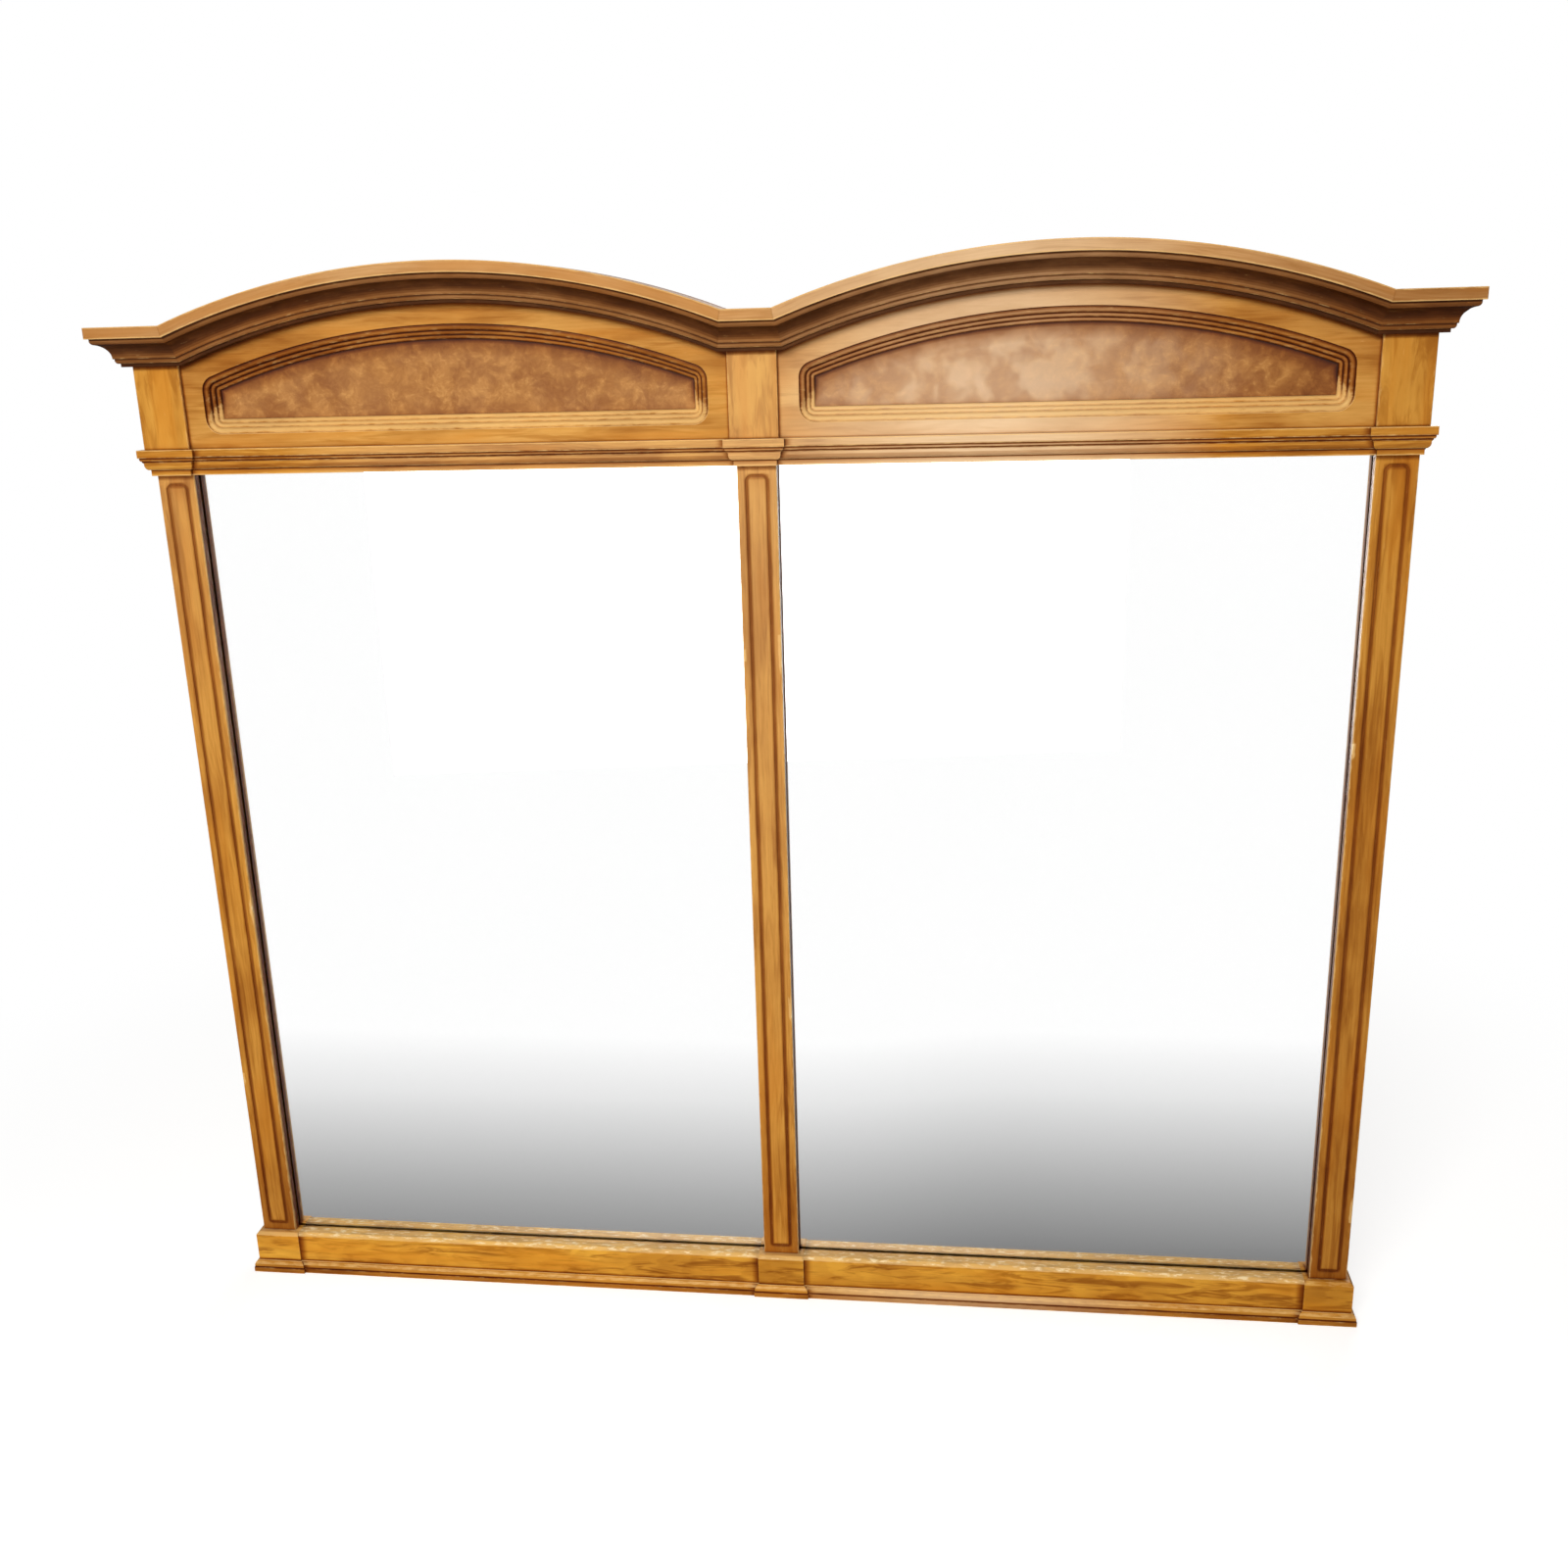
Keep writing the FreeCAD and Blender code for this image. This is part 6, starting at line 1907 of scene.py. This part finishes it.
class MIRROR_OT_stage(bpy.types.Operator):
    """Lays the floor, hangs the lights and sets the camera"""

    bl_idname = "mirror.stage"
    bl_label = "Stage"

    def execute(self, context):
        stage = context.scene.mirror_stage
        shell = bmesh.new()
        bmesh.ops.create_grid(shell, x_segments=1, y_segments=1, size=FLOOR_HALF)
        mesh = poured(shell, bpy.data.meshes.new("floor"))
        mesh.materials.append(stage_floor_material(stage.floor))
        floor = add_object("floor", mesh)

        world = bpy.data.worlds.new("soft_room")
        context.scene.world = world
        world.use_nodes = True
        bench = Bench(world.node_tree)
        path = bench.node("ShaderNodeLightPath").outputs
        background = world.node_tree.nodes["Background"]
        shown = bench.maths("MAXIMUM", path["Is Camera Ray"], path["Is Glossy Ray"])
        shown = bench.maths("MAXIMUM", shown, path["Is Transmission Ray"])
        strength = bench.maths("MULTIPLY_ADD", shown, 1.0 - stage.sky_strength,
                               stage.sky_strength)
        bench.feed(background.inputs["Strength"], strength)
        background.inputs["Color"].default_value = WHITE

        for name, power, place, aim, size, tint in LIGHTS:
            lamp = soft_light(name, place, aim, size, getattr(stage, power), tint)
            # The low light in front stays out of the glass
            lamp.visible_glossy = name != "fill_light"

        lens = bpy.data.cameras.new("camera")
        lens.lens, lens.sensor_width = CAMERA_LENS, CAMERA_SENSOR
        lens.clip_start, lens.clip_end = 0.05, 200.0
        camera = bpy.data.objects.new("camera", lens)
        camera.location = CAMERA_PLACE
        camera.rotation_euler = Euler([math.radians(angle) for angle in CAMERA_TURN])
        context.scene.collection.objects.link(camera)
        context.scene.camera = camera
        context.scene.view_settings.view_transform = "Standard"
        return {"FINISHED"}


STEPS = ("posts", "plinths", "bottom_rails", "base_mouldings", "capitals", "frieze_blocks",
         "frieze_boards", "burl_panels", "crown", "glass", "back", "stage")


class MIRROR_PT_panel(bpy.types.Panel):
    """Sizes, finishes and steps of the mirror"""

    bl_label = "Dresser Mirror"
    bl_idname = "MIRROR_PT_panel"
    bl_space_type = "VIEW_3D"
    bl_region_type = "UI"
    bl_category = "Dresser Mirror"

    def draw(self, context):
        layout = self.layout
        for group in ("mirror_shape", "mirror_finish", "mirror_stage"):
            settings = getattr(context.scene, group)
            box = layout.box()
            for name in settings.__annotations__:
                box.prop(settings, name)
        for step in STEPS:
            layout.operator(f"mirror.{step}")


CLASSES = (
    MirrorShape, MirrorFinish, MirrorStage, MIRROR_OT_posts, MIRROR_OT_plinths,
    MIRROR_OT_frieze_blocks, MIRROR_OT_bottom_rails, MIRROR_OT_base_mouldings,
    MIRROR_OT_capitals, MIRROR_OT_frieze_boards, MIRROR_OT_burl_panels, MIRROR_OT_crown,
    MIRROR_OT_glass, MIRROR_OT_back, MIRROR_OT_stage, MIRROR_PT_panel,
)


def register():
    for entry in CLASSES:
        bpy.utils.register_class(entry)
    bpy.types.Scene.mirror_shape = bpy.props.PointerProperty(type=MirrorShape)
    bpy.types.Scene.mirror_finish = bpy.props.PointerProperty(type=MirrorFinish)
    bpy.types.Scene.mirror_stage = bpy.props.PointerProperty(type=MirrorStage)


def unregister():
    for name in ("mirror_shape", "mirror_finish", "mirror_stage"):
        delattr(bpy.types.Scene, name)
    for entry in reversed(CLASSES):
        bpy.utils.unregister_class(entry)


def main():
    register()
    for step in STEPS:
        getattr(bpy.ops.mirror, step)()


if __name__ == "__main__":
    main()
